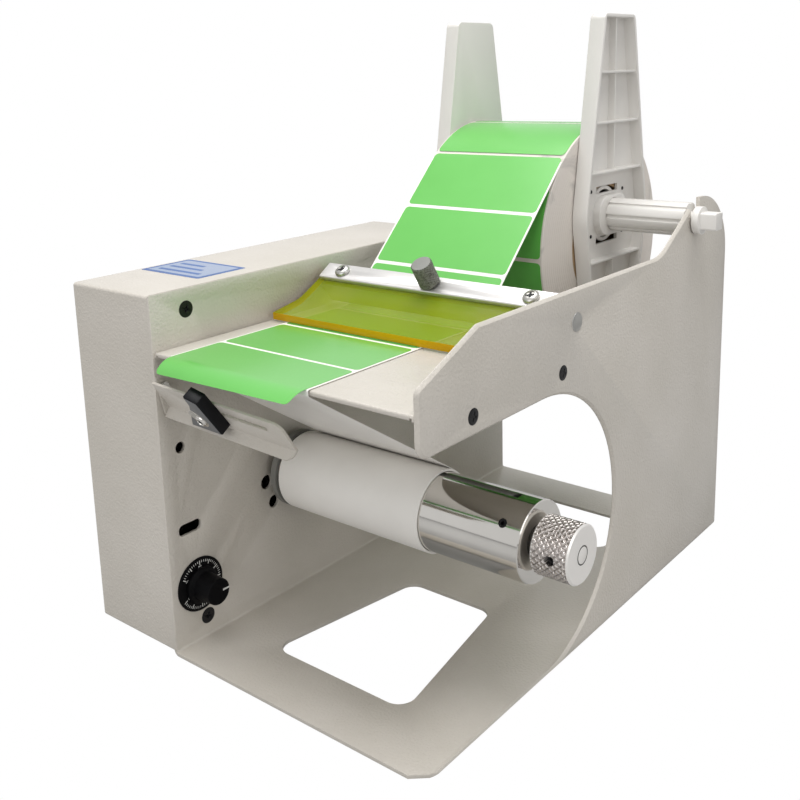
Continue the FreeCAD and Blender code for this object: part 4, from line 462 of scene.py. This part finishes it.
# Press bar: an aluminium beam and a bright clamping strip, with a soft amber sheet between
# them. Two plated screws pull the strip down, and a knurled screw locks the beam on its shaft.
satin_aluminium = finish_of("satin_aluminium", paint(206, 206, 204), paint(194, 195, 196), 900,
                            0.33, stretch=(0.2, 3, 3), bump=0.1, Metallic=1.0)
bright_strip = finish_of("bright_strip", paint(224, 221, 219), paint(214, 212, 210), 700, 0.4,
                         stretch=(0.15, 4, 4), bump=0.02, Metallic=0.85)
eased("press_beam", "press_group", satin_aluminium, 0.25 * MM)
eased("press_bar", "press_group", bright_strip, 0.2 * MM)


def finish_faces(piece, material, chosen):
    """Second finish for the faces whose normal is chosen."""
    piece.data.materials.append(material)
    for face in piece.data.polygons:
        if chosen(face.normal):
            face.material_index = 1


amber = finish_of("amber_sheet", paint(160, 176, 34), paint(150, 168, 26), 160, 0.3, bump=0.05,
                  drift=30, Alpha=0.42, Specular_IOR_Level=0.12, Coat_Weight=0.06,
                  Coat_Roughness=0.1)
amber_edge = finish_of("amber_edge", paint(196, 156, 4), paint(186, 144, 2), 200, 0.3,
                       bump=0.04, Specular_IOR_Level=0.15)
press_sheet = eased("press_sheet", "press_group", amber, 0.25 * MM)
finish_faces(press_sheet, amber_edge, lambda out: out.y < -0.75 or abs(out.x) > 0.75)

chrome = finish_of("polished_chrome", paint(226, 223, 218), paint(218, 215, 210), 60, 0.1,
                   spread=0.05, bump=0.01, Metallic=1.0)
press_tilt = math.radians(32)
press_normal = Vector((0, -math.sin(press_tilt), math.cos(press_tilt)))


def lay_painted_shade_cross(name, spot, axis, size, twist, body):
    """Two black bars laid across each other: painted shade for the dark inside a bright screw's
    cross recess.
    """
    for arm in range(2):
        cross = bmesh.new()
        bmesh.ops.create_cube(cross, size=1)
        bmesh.ops.scale(cross, verts=cross.verts, vec=size)
        turn = Matrix.Rotation(math.radians(twist + 90 * arm), 4, "Z")
        tilt = axis.to_track_quat("Z", "Y").to_matrix().to_4x4()
        level = spot + axis * (0.01 * arm * MM)
        bmesh.ops.transform(cross, verts=cross.verts,
                            matrix=Matrix.Translation(level) @ tilt @ turn)
        add_piece(cross, "%s_%d" % (name, arm), body, black_oxide)


beam_half = 7.1 * MM
sheet_thickness = 4.2 * MM
strip_thickness = 2.6 * MM
head_under = beam_half + sheet_thickness + strip_thickness
recess_floor = 2.12 * MM
head_radius = 4.9 * MM
for number, (low, high) in enumerate(solid_boxes("bar_screws")):
    x = (low.x + high.x) / 2
    spot = Vector((x, shaft_line.y, shaft_line.z)) + press_normal * head_under
    add_piece(turned([(0.05 * MM, 0.5 * MM), (0.05 * MM, head_radius - 0.3 * MM),
                      (0.3 * MM, head_radius), (1.2 * MM, head_radius),
                      (2.1 * MM, head_radius * 0.86), (2.7 * MM, head_radius * 0.66),
                      (2.8 * MM, head_radius * 0.58), (2.1 * MM, head_radius * 0.52),
                      (2.1 * MM, 0.5 * MM), (0.05 * MM, 0.5 * MM)], spot, press_normal, 48),
              "bar_screw_head_%d" % number, "press_group", zinc_plate,
              ["bar_screws"] if number == 0 else (), crease=50)
    # Painted shade: two black bars lie in the head's cross recess.
    lay_painted_shade_cross("bar_screw_cross_%d" % number, spot + press_normal * recess_floor, press_normal,
              size=(head_radius * 0.96, head_radius * 0.26, 0.3 * MM), twist=20,
              body="press_group")


def knurled(length, radius, chamfer, pitch, depth, rows, sides, bore):
    """Turned knob whose rim carries crossed cuts; built along +z from the origin."""
    rim = [(chamfer + (length - 2 * chamfer) * i / rows, radius) for i in range(rows + 1)]
    profile = [(0, bore), (0, radius - chamfer)] + rim + [(length, radius - chamfer),
                                                          (length, bore)]
    mesh = turned(profile, Vector(), (0, 0, 1), sides)
    for vert in mesh.verts:
        out = math.hypot(vert.co.x, vert.co.y)
        if out < radius - chamfer / 2 or not chamfer < vert.co.z < length - chamfer:
            continue
        around = math.atan2(vert.co.y, vert.co.x) * radius
        one = abs(((around + vert.co.z) / pitch) % 1 - 0.5)
        two = abs(((around - vert.co.z) / pitch) % 1 - 0.5)
        cut = depth * max(0, 1 - min(0.5 - one, 0.5 - two) * 5)
        vert.co.x *= (out - cut) / out
        vert.co.y *= (out - cut) / out
    return mesh


def stood(mesh, spot, axis):
    """Move a part that was built along +z to its place."""
    turn = Vector(axis).to_track_quat("Z", "Y").to_matrix().to_4x4()
    bmesh.ops.transform(mesh, matrix=Matrix.Translation(spot) @ turn, verts=mesh.verts)
    return mesh


knurled_grey = finish_of("knurled_grey", paint(122, 122, 118), paint(138, 138, 134), 900, 0.45,
                         bump=0.15, Metallic=0.55)
thumb_radius = 6.4 * MM
thumb_length = 15.5 * MM
thumb_stand = 14.4 * MM
thumb_base = Vector((centre_of("press_beam").x, shaft_line.y, shaft_line.z)) \
    + press_normal * thumb_stand
thumb_pitch = 2 * math.pi * thumb_radius / 26
thumb_knob = add_piece(stood(knurled(thumb_length, thumb_radius, chamfer=0.6 * MM,
                                     pitch=thumb_pitch, depth=0.5 * MM, rows=44, sides=208,
                                     bore=0), thumb_base, press_normal),
                       "thumb_knob_knurled", "thumb_screw", knurled_grey,
                       ["thumb_screw"])
knurled_rim = finish_of("knurled_rim", paint(84, 84, 76), paint(138, 138, 130), 900, 0.4,
                        bump=0.15, drift=700, Metallic=0.55)
finish_faces(thumb_knob, knurled_rim, lambda out: abs(out.dot(press_normal)) < 0.6)


# Sensor bracket: thin coated sheet folded to an angle, with a slot along it. The label sensor
# is a black wedge with a grey face; a small screw clamps it anywhere along the slot.
eased("sensor_bracket", "frame", powder_coat, 0.3 * MM)
sensor_black = finish_of("sensor_black", paint(7, 8, 12), paint(11, 12, 17), 900, 0.36, bump=0.1,
                         Specular_IOR_Level=0.2)
sensor_grey = finish_of("sensor_face", paint(104, 105, 106), paint(92, 93, 95), 900, 0.42,
                        bump=0.15)
bracket_fall = Matrix.Rotation(math.radians(2.3), 3, "Y")
bracket_lean = Matrix.Rotation(math.radians(34), 3, "X")
sensor_turn = bracket_fall @ bracket_lean
sensor_front = sensor_turn @ Vector((0, -1, 0))
sensor_case = eased("sensor_body", "sensor", sensor_black, 0.35 * MM)
finish_faces(sensor_case, sensor_grey, lambda out: out.dot(sensor_front) > 0.8)
dress_node("sensor_screw", zinc_plate)
face_before_screw = 5.2 * MM
sensor_face = centre_of("sensor_screw") + sensor_front * face_before_screw
oval_turn = sensor_turn @ Matrix.Rotation(math.radians(90), 3, "X") \
    @ Matrix.Rotation(math.radians(-42), 3, "Z")
for name, half_length, half_height, level, finish in (
        ("sensor_oval_rim", 7.0, 4.1, 0.0, chrome),
        ("sensor_oval_floor", 6.1, 3.3, 0.16, zinc_plate)):
    oval = flat_card(-half_length * MM, half_length * MM, -half_height * MM, half_height * MM,
                     level * MM, (half_height - 0.05) * MM, 0.15 * MM)
    middle = sensor_face + sensor_turn @ Vector((-1.5, 0, 1.6)) * MM
    bmesh.ops.transform(oval, matrix=Matrix.Translation(middle) @ oval_turn.to_4x4(),
                        verts=oval.verts)
    add_piece(oval, name, "sensor", finish)
add_piece(turned([(0, 0.4 * MM), (0, 3.7 * MM), (0.7 * MM, 3.4 * MM), (1.1 * MM, 2.3 * MM),
                  (0.5 * MM, 1.9 * MM), (0.5 * MM, 0.4 * MM), (0, 0.4 * MM)],
                 sensor_face + sensor_front * 0.32 * MM, sensor_front, 40),
          "sensor_screw_head", "sensor", chrome, crease=50)
# Painted shade: two black bars lie in the screw head's cross recess.
lay_painted_shade_cross("sensor_screw_cross", sensor_face + sensor_front * 1.0 * MM, sensor_front,
          size=(3.6 * MM, 0.9 * MM, 0.2 * MM), twist=25, body="sensor")
dress_node("bracket_screws", zinc_plate)


# Take-up roller: a grey drum on a steel shaft, with a grey disc at its left end and a polished
# clip shell round it. The clip, its end ring and its knurled knob pull out together.
grey_moulding = finish_of("grey_moulding", paint(128, 127, 122), paint(116, 116, 112), 700, 0.5)
roller_axis = centre_of("takeup_shaft")
for node in ("takeup_flange", "takeup_core"):
    dress_node(node, grey_moulding)
brass = finish_of("bush_brass", paint(196, 160, 84), paint(180, 146, 76), 600, 0.35, Metallic=1.0)
dress_node("takeup_bush", brass)
for node in ("takeup_shaft", "clip_stem", "drive_shaft"):
    dress_node(node, steel_turned)

# Painted shade: the knob's neck and a thin ring round the stem end are coloured dark steel, for
# the shade that falls there.
painted_shade_steel = finish_of("neck_steel_painted_shade", paint(64, 62, 60), paint(80, 78, 76), 700, 0.5, Metallic=0.8)


def sink_hole(mesh, x, angle, radius, depth):
    """Push a round spot of a turned rim inwards; the angle runs from +y towards +z."""
    for vert in mesh.verts:
        out = math.hypot(vert.co.y - roller_axis.y, vert.co.z - roller_axis.z)
        if out < 10 * MM:
            continue
        around = math.atan2(vert.co.z - roller_axis.z, vert.co.y - roller_axis.y) - angle
        around = math.atan2(math.sin(around), math.cos(around)) * out
        if math.hypot(around, vert.co.x - x) < radius:
            share = (out - depth) / out
            vert.co.y = roller_axis.y + (vert.co.y - roller_axis.y) * share
            vert.co.z = roller_axis.z + (vert.co.z - roller_axis.z) * share


clip_low, clip_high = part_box("takeup_clip")
clip_radius = (clip_high.z - clip_low.z) / 2
clip_wall = 1.2 * MM
clip_tie = 9 * MM
clip_length = clip_high.x - clip_low.x
clip_split = math.asin(2.5 * MM / clip_radius)
shell_length = clip_length - clip_tie
clip_section = [(0, clip_radius - clip_wall), (0, clip_radius - 0.2 * MM), (0.2 * MM, clip_radius)]
clip_section += [(shell_length - (4 - i / 4) * MM, clip_radius) for i in range(17)]
clip_section += [(shell_length, clip_radius - clip_wall), (0, clip_radius - clip_wall)]
clip_hole = (clip_high.x - 8.7 * MM, math.radians(141), 2.4 * MM, 3 * MM)
along_roller = Matrix(((0, 0, 1), (1, 0, 0), (0, 1, 0))).to_4x4()
for number, side in enumerate((1, -1)):
    shell = turned(clip_section, Vector(), (0, 0, 1), 240, math.pi - 2 * clip_split)
    ends = [e for e in shell.edges if e.is_boundary]
    bmesh.ops.holes_fill(shell, edges=ends)
    bmesh.ops.recalc_face_normals(shell, faces=shell.faces)
    start = math.pi / 2 + clip_split if side > 0 else -math.pi / 2 + clip_split
    bmesh.ops.rotate(shell, verts=shell.verts, matrix=Matrix.Rotation(start, 3, "Z"))
    bmesh.ops.transform(shell, verts=shell.verts, matrix=Matrix.Translation(
        (clip_low.x, roller_axis.y, roller_axis.z)) @ along_roller)
    sink_hole(shell, *clip_hole)
    add_piece(shell, "clip_shell_%d" % number, "clip", chrome,
              ["takeup_clip"] if number == 0 else ())
tie_start = clip_high.x - clip_tie
tie_rim = [(clip_tie * i / 36, clip_radius) for i in range(37)]
tie_band = turned([(0, clip_radius - clip_wall)] + tie_rim + [(clip_tie, clip_radius - clip_wall),
                                                              (0, clip_radius - clip_wall)],
                  Vector((tie_start, roller_axis.y, roller_axis.z)), (1, 0, 0), 480)
sink_hole(tie_band, *clip_hole)
add_piece(tie_band, "clip_tie_band", "clip", chrome)
ring_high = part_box("clip_ring")[1]
ring_rim = 3.2 * MM
add_piece(turned([(0, 5 * MM), (0, clip_radius), (ring_rim - 0.5 * MM, clip_radius),
                  (ring_rim, clip_radius - 0.5 * MM), (ring_rim, 5 * MM), (0, 5 * MM)],
                 Vector((ring_high.x - ring_rim, roller_axis.y, roller_axis.z)), (1, 0, 0), 144),
          "clip_end_ring", "clip", chrome, ["clip_ring"])

knob_low, knob_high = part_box("pull_knob")
knob_metal = finish_of("knob_aluminium", paint(250, 247, 243), paint(244, 241, 237), 1000, 0.4,
                       spread=0.04, bump=0.015, Metallic=0.8)
# Painted shade: the knurled faces are coloured darker than the knob's ends, for the shade in the
# knurl cuts.
knurl_metal_painted_shade = finish_of("knob_knurl", paint(206, 200, 196), paint(184, 178, 174), 1000, 0.26,
                        spread=0.06, bump=0.03, Metallic=1.0)
knob_radius = 16.2 * MM
knob_length = 22.4 * MM
knob_pitch = 2 * math.pi * knob_radius / 26
knob = stood(knurled(knob_length, knob_radius, chamfer=0.9 * MM, pitch=knob_pitch,
                     depth=0.8 * MM, rows=60, sides=416, bore=5.02 * MM),
             Vector((knob_high.x - knob_length, roller_axis.y, roller_axis.z)), (1, 0, 0))
sink_hole(knob, knob_high.x - 10.6 * MM, math.radians(180), radius=2.6 * MM, depth=5 * MM)
knurled_knob = add_piece(knob, "pull_knob_knurled", "clip", knob_metal,
                         ["pull_knob"])
# The knurled faces get the painted shade.
finish_faces(knurled_knob, knurl_metal_painted_shade, lambda out: abs(out.x) < 0.6)
neck_radius = 8.5 * MM
# Painted shade: the neck under the knob is coloured dark.
add_piece(turned([(0, 5 * MM), (0, neck_radius), (2.9 * MM, neck_radius), (2.9 * MM, 5 * MM),
                  (0, 5 * MM)], Vector((knob_low.x, roller_axis.y, roller_axis.z)), (1, 0, 0)),
          "pull_knob_neck", "clip", painted_shade_steel)
for node in ("knob_set_screw", "clip_screw"):
    dress_node(node, black_oxide)
# Painted shade: a thin dark ring where the stem leaves the knob.
add_piece(turned([(0, 4.4 * MM), (0, 5.3 * MM), (0.05 * MM, 5.3 * MM), (0.05 * MM, 4.4 * MM),
                  (0, 4.4 * MM)], Vector((knob_high.x, roller_axis.y, roller_axis.z)), (1, 0, 0)),
          "pull_knob_stem_gap_shade", "clip", painted_shade_steel)
add_piece(turned([(0, 0), (0, 4.7 * MM), (0.08 * MM, 4.5 * MM), (0.08 * MM, 0)],
                 Vector((knob_high.x, roller_axis.y, roller_axis.z)), (1, 0, 0)),
          "pull_knob_stem_end", "clip", knob_metal)


# Backing paper and labels: glazed white paper with bright green labels. The roll hangs on the
# reel's spigots, the web comes off its top, bends on to the table and turns round the nose.
liner_white = finish_of("liner_paper", paint(242, 239, 234), paint(236, 233, 228), 700, 0.42,
                        bump=0.06)
label_green = finish_of("label_green", paint(92, 182, 72), paint(100, 189, 82), 500, 0.3,
                        spread=0.06, bump=0.04, drift=14, Coat_Weight=0.8, Coat_Roughness=0.2)
dress_node("liner_web", liner_white)

roll_low, roll_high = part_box("label_roll")
roll_middle = (roll_low + roll_high) / 2
roll_radius = 80 * MM
table_low, table_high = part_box("peel_table")
web_stand = 0.6 * MM
web_level = table_high.z + web_stand
nose_y = table_low.y - 0.8 * MM
bend_corner = table_low.y + 144.4 * MM
bend_radius = 17.9 * MM
to_roll = Vector((roll_middle.y - bend_corner, roll_middle.z - web_level))
web_slope = math.atan2(to_roll.y, to_roll.x) + math.asin((roll_radius + web_stand)
                                                         / to_roll.length)
bend_start = bend_corner - nose_y - bend_radius * math.tan(web_slope / 2)
slope_start = bend_start + bend_radius * web_slope
bend_end = Vector((bend_corner, web_level)) + Vector(
    (math.cos(web_slope), math.sin(web_slope))) * bend_radius * math.tan(web_slope / 2)
slope_length = math.sqrt(to_roll.length ** 2 - (roll_radius + web_stand) ** 2) \
    - bend_radius * math.tan(web_slope / 2)
roll_start = slope_start + slope_length
settling_length = 16 * MM
roll_lift = 0.04 * MM


def web_spot(along, lift):
    """Place on the paper's upper side, by its length from the nose: (y, z)."""
    if along < bend_start:
        return nose_y + along, web_level + lift
    if along < slope_start:
        turn = (along - bend_start) / bend_radius
        inner = bend_radius - lift
        return (nose_y + bend_start + inner * math.sin(turn),
                web_level + bend_radius - inner * math.cos(turn))
    if along < roll_start:
        run = along - slope_start
        return (bend_end.x + run * math.cos(web_slope) - lift * math.sin(web_slope),
                bend_end.y + run * math.sin(web_slope) + lift * math.cos(web_slope))
    turn = web_slope + math.pi / 2 - (along - roll_start) / roll_radius
    settling = max(0, 1 - (along - roll_start) / settling_length)
    outer = roll_radius + roll_lift + (web_stand - roll_lift) * settling + lift
    return roll_middle.y + outer * math.cos(turn), roll_middle.z + outer * math.sin(turn)


def label_blank(left, right, start, end, corner, step, thickness):
    """Flat label: x across, y along the paper, z its thickness, cut into narrow rows."""
    mesh = flat_card(left, right, start, end, 0, corner, thickness)
    rows = int((end - start) / step)
    for row in range(1, rows):
        bmesh.ops.bisect_plane(mesh, geom=mesh.verts[:] + mesh.edges[:] + mesh.faces[:],
                               plane_co=(0, start + (end - start) * row / rows, 0),
                               plane_no=(0, 1, 0), dist=0.000001)
    return mesh


label_margin = 1.3 * MM
label_left = roll_low.x + label_margin
label_right = roll_high.x - label_margin
label_corner = 2.6 * MM
label_pitch = 47.9 * MM
label_gap = 2.6 * MM
first_gap = 35.6 * MM
label_count = int((roll_start + 2 * math.pi * roll_radius - first_gap) / label_pitch)
for number in range(label_count):
    start = first_gap + number * label_pitch + label_gap / 2
    blank = label_blank(label_left, label_right, start, start + label_pitch - label_gap,
                        label_corner, step=2.2 * MM, thickness=0.12 * MM)
    for vert in blank.verts:
        vert.co.y, vert.co.z = web_spot(vert.co.y, vert.co.z + 0.02 * MM)
    on_roll = start > roll_start - 10 * MM
    add_piece(blank, "label_%02d" % number, "roll" if on_roll else "frame", label_green,
              crease=50)


# Label roll: the side shows the edges of its turns, white with faint grey smears, with the
# labels' green at the rim; it sits on a brown card tube.
def build_roll_side():
    """Paper edge: fine rings about the roll's own centre, and soft grey smears."""
    material = bpy.data.materials.new("roll_side")
    material.use_nodes = True
    nodes, links = material.node_tree.nodes, material.node_tree.links
    shader = nodes["Principled BSDF"]
    place = nodes.new("ShaderNodeTexCoord")
    centre = nodes.new("ShaderNodeMapping")
    centre.inputs["Location"].default_value = (0, -roll_middle.y, -roll_middle.z)
    flatten = nodes.new("ShaderNodeVectorMath")
    flatten.operation = "MULTIPLY"
    flatten.inputs[1].default_value = (0, 1, 1)
    distance = nodes.new("ShaderNodeVectorMath")
    distance.operation = "LENGTH"
    wave = nodes.new("ShaderNodeMath")
    wave.operation = "MULTIPLY"
    wave.inputs[1].default_value = 2600
    ring = nodes.new("ShaderNodeMath")
    ring.operation = "SINE"
    smear = nodes.new("ShaderNodeTexNoise")
    smear.inputs["Scale"].default_value = 26
    smear.inputs["Detail"].default_value = 6
    smear.inputs["Distortion"].default_value = 1.4
    share = nodes.new("ShaderNodeMapRange")
    share.inputs["From Min"].default_value = 0.56
    share.inputs["From Max"].default_value = 0.74
    share.inputs["To Max"].default_value = 0.55
    colour = nodes.new("ShaderNodeMix")
    colour.data_type = "RGBA"
    colour.inputs["A"].default_value = paint(224, 217, 209)
    colour.inputs["B"].default_value = paint(140, 136, 134)
    bump = nodes.new("ShaderNodeBump")
    bump.inputs["Distance"].default_value = 0.0003
    bump.inputs["Strength"].default_value = 0.25
    links.new(place.outputs["Object"], centre.inputs["Vector"])
    links.new(centre.outputs["Vector"], flatten.inputs[0])
    links.new(flatten.outputs[0], distance.inputs[0])
    links.new(distance.outputs["Value"], wave.inputs[0])
    links.new(wave.outputs[0], ring.inputs[0])
    links.new(place.outputs["Object"], smear.inputs["Vector"])
    links.new(smear.outputs["Fac"], share.inputs["Value"])
    links.new(share.outputs["Result"], colour.inputs["Factor"])
    links.new(colour.outputs["Result"], shader.inputs["Base Color"])
    links.new(ring.outputs[0], bump.inputs["Height"])
    links.new(bump.outputs["Normal"], shader.inputs["Normal"])
    shader.inputs["Roughness"].default_value = 0.7
    return material


roll_side = build_roll_side()
roll_width = roll_high.x - roll_low.x
core_radius = 42 * MM
add_piece(turned([(0, core_radius), (0, roll_radius - 0.3 * MM), (0.3 * MM, roll_radius),
                  (roll_width - 0.3 * MM, roll_radius), (roll_width, roll_radius - 0.3 * MM),
                  (roll_width, core_radius), (0, core_radius)],
                 Vector((roll_low.x, roll_middle.y, roll_middle.z)), (1, 0, 0), 200),
          "label_roll_wound", "roll", roll_side, ["label_roll"])
card_brown = finish_of("core_card", paint(170, 142, 108), paint(150, 124, 92), 800, 0.8, bump=0.2)
dress_node("roll_core", card_brown)


# Wound backing paper: the bare paper that the take-up roller draws off the nose and winds on
# its clip, in plain white turns.
wound_low, wound_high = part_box("wound_liner")
wound_radius = (wound_high.z - wound_low.z) / 2
wound_width = wound_high.x - wound_low.x
add_piece(turned([(0, clip_radius + 0.3 * MM), (0, wound_radius - 0.15 * MM),
                  (0.15 * MM, wound_radius), (wound_width - 0.15 * MM, wound_radius),
                  (wound_width, wound_radius - 0.15 * MM),
                  (wound_width, clip_radius + 0.3 * MM), (0, clip_radius + 0.3 * MM)],
                 Vector((wound_low.x, roller_axis.y, roller_axis.z)), (1, 0, 0), 160),
          "wound_liner_turns", "takeup", liner_white, ["wound_liner"])


# Peeled label: stiff paper that leaves the nose and curls down in front of it. Its left side
# curls more tightly than its right side, because nothing holds it there.
peel_reach = 13.9 * MM
peel_columns = 12
loose_curl = 22 * MM
tight_curl = 13.2 * MM
peel = label_blank(label_left, label_right, -peel_reach, first_gap - label_gap / 2,
                   label_corner, step=1.4 * MM, thickness=0.14 * MM)
for column in range(1, peel_columns):
    column_x = label_left + (label_right - label_left) * column / peel_columns
    bmesh.ops.bisect_plane(peel, geom=peel.verts[:] + peel.edges[:] + peel.faces[:],
                           plane_co=(column_x, 0, 0), plane_no=(1, 0, 0), dist=0.000001)
for vert in peel.verts:
    along, lift = vert.co.y, vert.co.z + 0.05 * MM
    side = (label_right - vert.co.x) / (label_right - label_left)
    curl_radius = loose_curl - (loose_curl - tight_curl) * side
    if along > 0:
        vert.co.y, vert.co.z = nose_y + along, web_level + lift
        continue
    turn = -along / curl_radius
    vert.co.y = nose_y - (curl_radius + lift) * math.sin(turn)
    vert.co.z = web_level - curl_radius + (curl_radius + lift) * math.cos(turn)
add_piece(peel, "peeled_label_curl", "frame", label_green, ["peeled_label"],
          crease=50)


# Reel: two-armed flanges and a fluted rod, moulded in white plastic with ribs on the outside.
white_moulding = finish_of("white_moulding", paint(226, 223, 218), paint(220, 217, 212), 500,
                           0.36, spread=0.08, bump=0.06, drift=12, Coat_Weight=0.1)
eased("reel_flange_left", "reel", white_moulding, 0.35 * MM)
eased("reel_flange_right", "outer_flange", white_moulding, 0.35 * MM)
eased("reel_shaft", "reel", white_moulding, 0.2 * MM)
reel_axis = centre_of("reel_shaft")
spigot_and_web = (12 + 2.4) * MM
flange_screw_spots = ((-22.5, 17), (-22.5, -13), (22, 15), (22, -14.5))
for flange, body, side in (("reel_flange_right", "outer_flange", 1),
                           ("reel_flange_left", "reel", -1)):
    low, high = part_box(flange)
    face_x = low.x + spigot_and_web if side > 0 else high.x - spigot_and_web
    for number, (y, z) in enumerate(flange_screw_spots):
        spot = Vector((face_x, reel_axis.y + y * MM, reel_axis.z + z * MM))
        add_piece(turned([(0.02 * MM, 0), (0.02 * MM, 1.3 * MM), (0.4 * MM, 1.1 * MM),
                          (0.5 * MM, 0)], spot, (side, 0, 0), 24),
                  "%s_screw_%d" % (flange, number), body, black_oxide)


# Speed control: a black dial with white marks, and a black pointer knob with a grip skirt.
# The knob turns the spindle of a control behind the plate.
dial_black = finish_of("dial_black", paint(4, 4, 6), paint(7, 7, 9), 900, 0.5, bump=0.06,
                       Specular_IOR_Level=0.08)
mark_white = finish_of("mark_white", paint(226, 226, 222), paint(214, 214, 210), 900, 0.6)
eased("speed_dial", "frame", dial_black, 0.2 * MM)
dial_low, dial_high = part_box("speed_dial")
dial_middle = (dial_low + dial_high) / 2
dial_face = dial_high.x
dial_start = -150
dial_sweep = 300
for tick in range(51):
    long_tick = tick % 5 == 0
    angle = math.radians(dial_start + dial_sweep * tick / 50)
    inner, outer = (12.2 if long_tick else 13.4) * MM, 14.8 * MM
    mark = bmesh.new()
    bmesh.ops.create_cube(mark, size=1)
    bmesh.ops.scale(mark, verts=mark.verts,
                    vec=(0.06 * MM, outer - inner, (0.5 if long_tick else 0.3) * MM))
    bmesh.ops.translate(mark, verts=mark.verts, vec=(dial_face + 0.03 * MM,
                                                     (inner + outer) / 2, 0))
    bmesh.ops.rotate(mark, verts=mark.verts, cent=(dial_face, 0, 0),
                     matrix=Matrix.Rotation(angle, 3, "X"))
    bmesh.ops.translate(mark, verts=mark.verts, vec=(0, dial_middle.y, dial_middle.z))
    add_piece(mark, "dial_mark_%02d" % tick, "frame", mark_white)
numeral_radius = 10.8 * MM
for numeral in range(0, 11, 2):
    text_data = bpy.data.curves.new("dial_numeral_%02d" % numeral, "FONT")
    text_data.body = str(numeral * 10)
    text_data.size = 2.5 * MM
    text_data.align_x = "CENTER"
    text_data.align_y = "CENTER"
    text_data.extrude = 0.03 * MM
    text = bpy.data.objects.new("dial_numeral_source", text_data)
    bpy.context.scene.collection.objects.link(text)
    bpy.context.view_layer.update()
    numeral_mesh = bmesh.new()
    flat = bpy.data.meshes.new_from_object(text)
    numeral_mesh.from_mesh(flat)
    bpy.data.objects.remove(text)
    angle = math.radians(dial_start + dial_sweep * numeral / 10)
    spot = Vector((dial_face + 0.03 * MM, dial_middle.y + numeral_radius * math.cos(angle),
                   dial_middle.z + numeral_radius * math.sin(angle)))
    bmesh.ops.transform(numeral_mesh, matrix=Matrix.Translation(spot) @ along_roller,
                        verts=numeral_mesh.verts)
    add_piece(numeral_mesh, "dial_numeral_%02d" % numeral, "frame", mark_white)

eased("speed_knob", "speed_knob", dial_black, 0.15 * MM)
for node, material in (("pot_nut", zinc_plate), ("pot_shaft", steel_turned),
                       ("speed_pot", steel_turned)):
    dress_node(node, material)
pointer_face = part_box("speed_knob")[1].x
pointer = bmesh.new()
bmesh.ops.create_cube(pointer, size=1)
bmesh.ops.scale(pointer, verts=pointer.verts, vec=(0.3 * MM, 5.2 * MM, 1.2 * MM))
bmesh.ops.translate(pointer, verts=pointer.verts,
                    vec=(pointer_face - 0.55 * MM, dial_middle.y + 5.1 * MM, dial_middle.z))
add_piece(pointer, "pointer_line", "speed_knob", mark_white)


# Drive inside the box: a cast gearbox, a motor in a steel can on its plate and spacers, and a
# lacquered control board on brass posts.
board_green = finish_of("board_green", paint(26, 92, 52), paint(30, 104, 60), 700, 0.35)
inner_finish = {
    "gearbox": satin_aluminium, "drive_motor": steel_turned, "motor_plate": steel_turned,
    "motor_standoffs": steel_turned, "drive_coupling": satin_aluminium,
    "control_board": board_green, "board_posts": brass, "board_parts": dial_black,
    "inlet_nut": zinc_plate}
for node, material in inner_finish.items():
    dress_node(node, material)


# Rear wall: a round socket for the lead and a rocker switch in a snap-in frame, all moulded
# in black plastic.
eased("power_inlet", "frame", dial_black, 0.25 * MM)
eased("switch_housing", "frame", dial_black, 0.3 * MM)
eased("switch_rocker", "rocker", dial_black, 0.4 * MM)
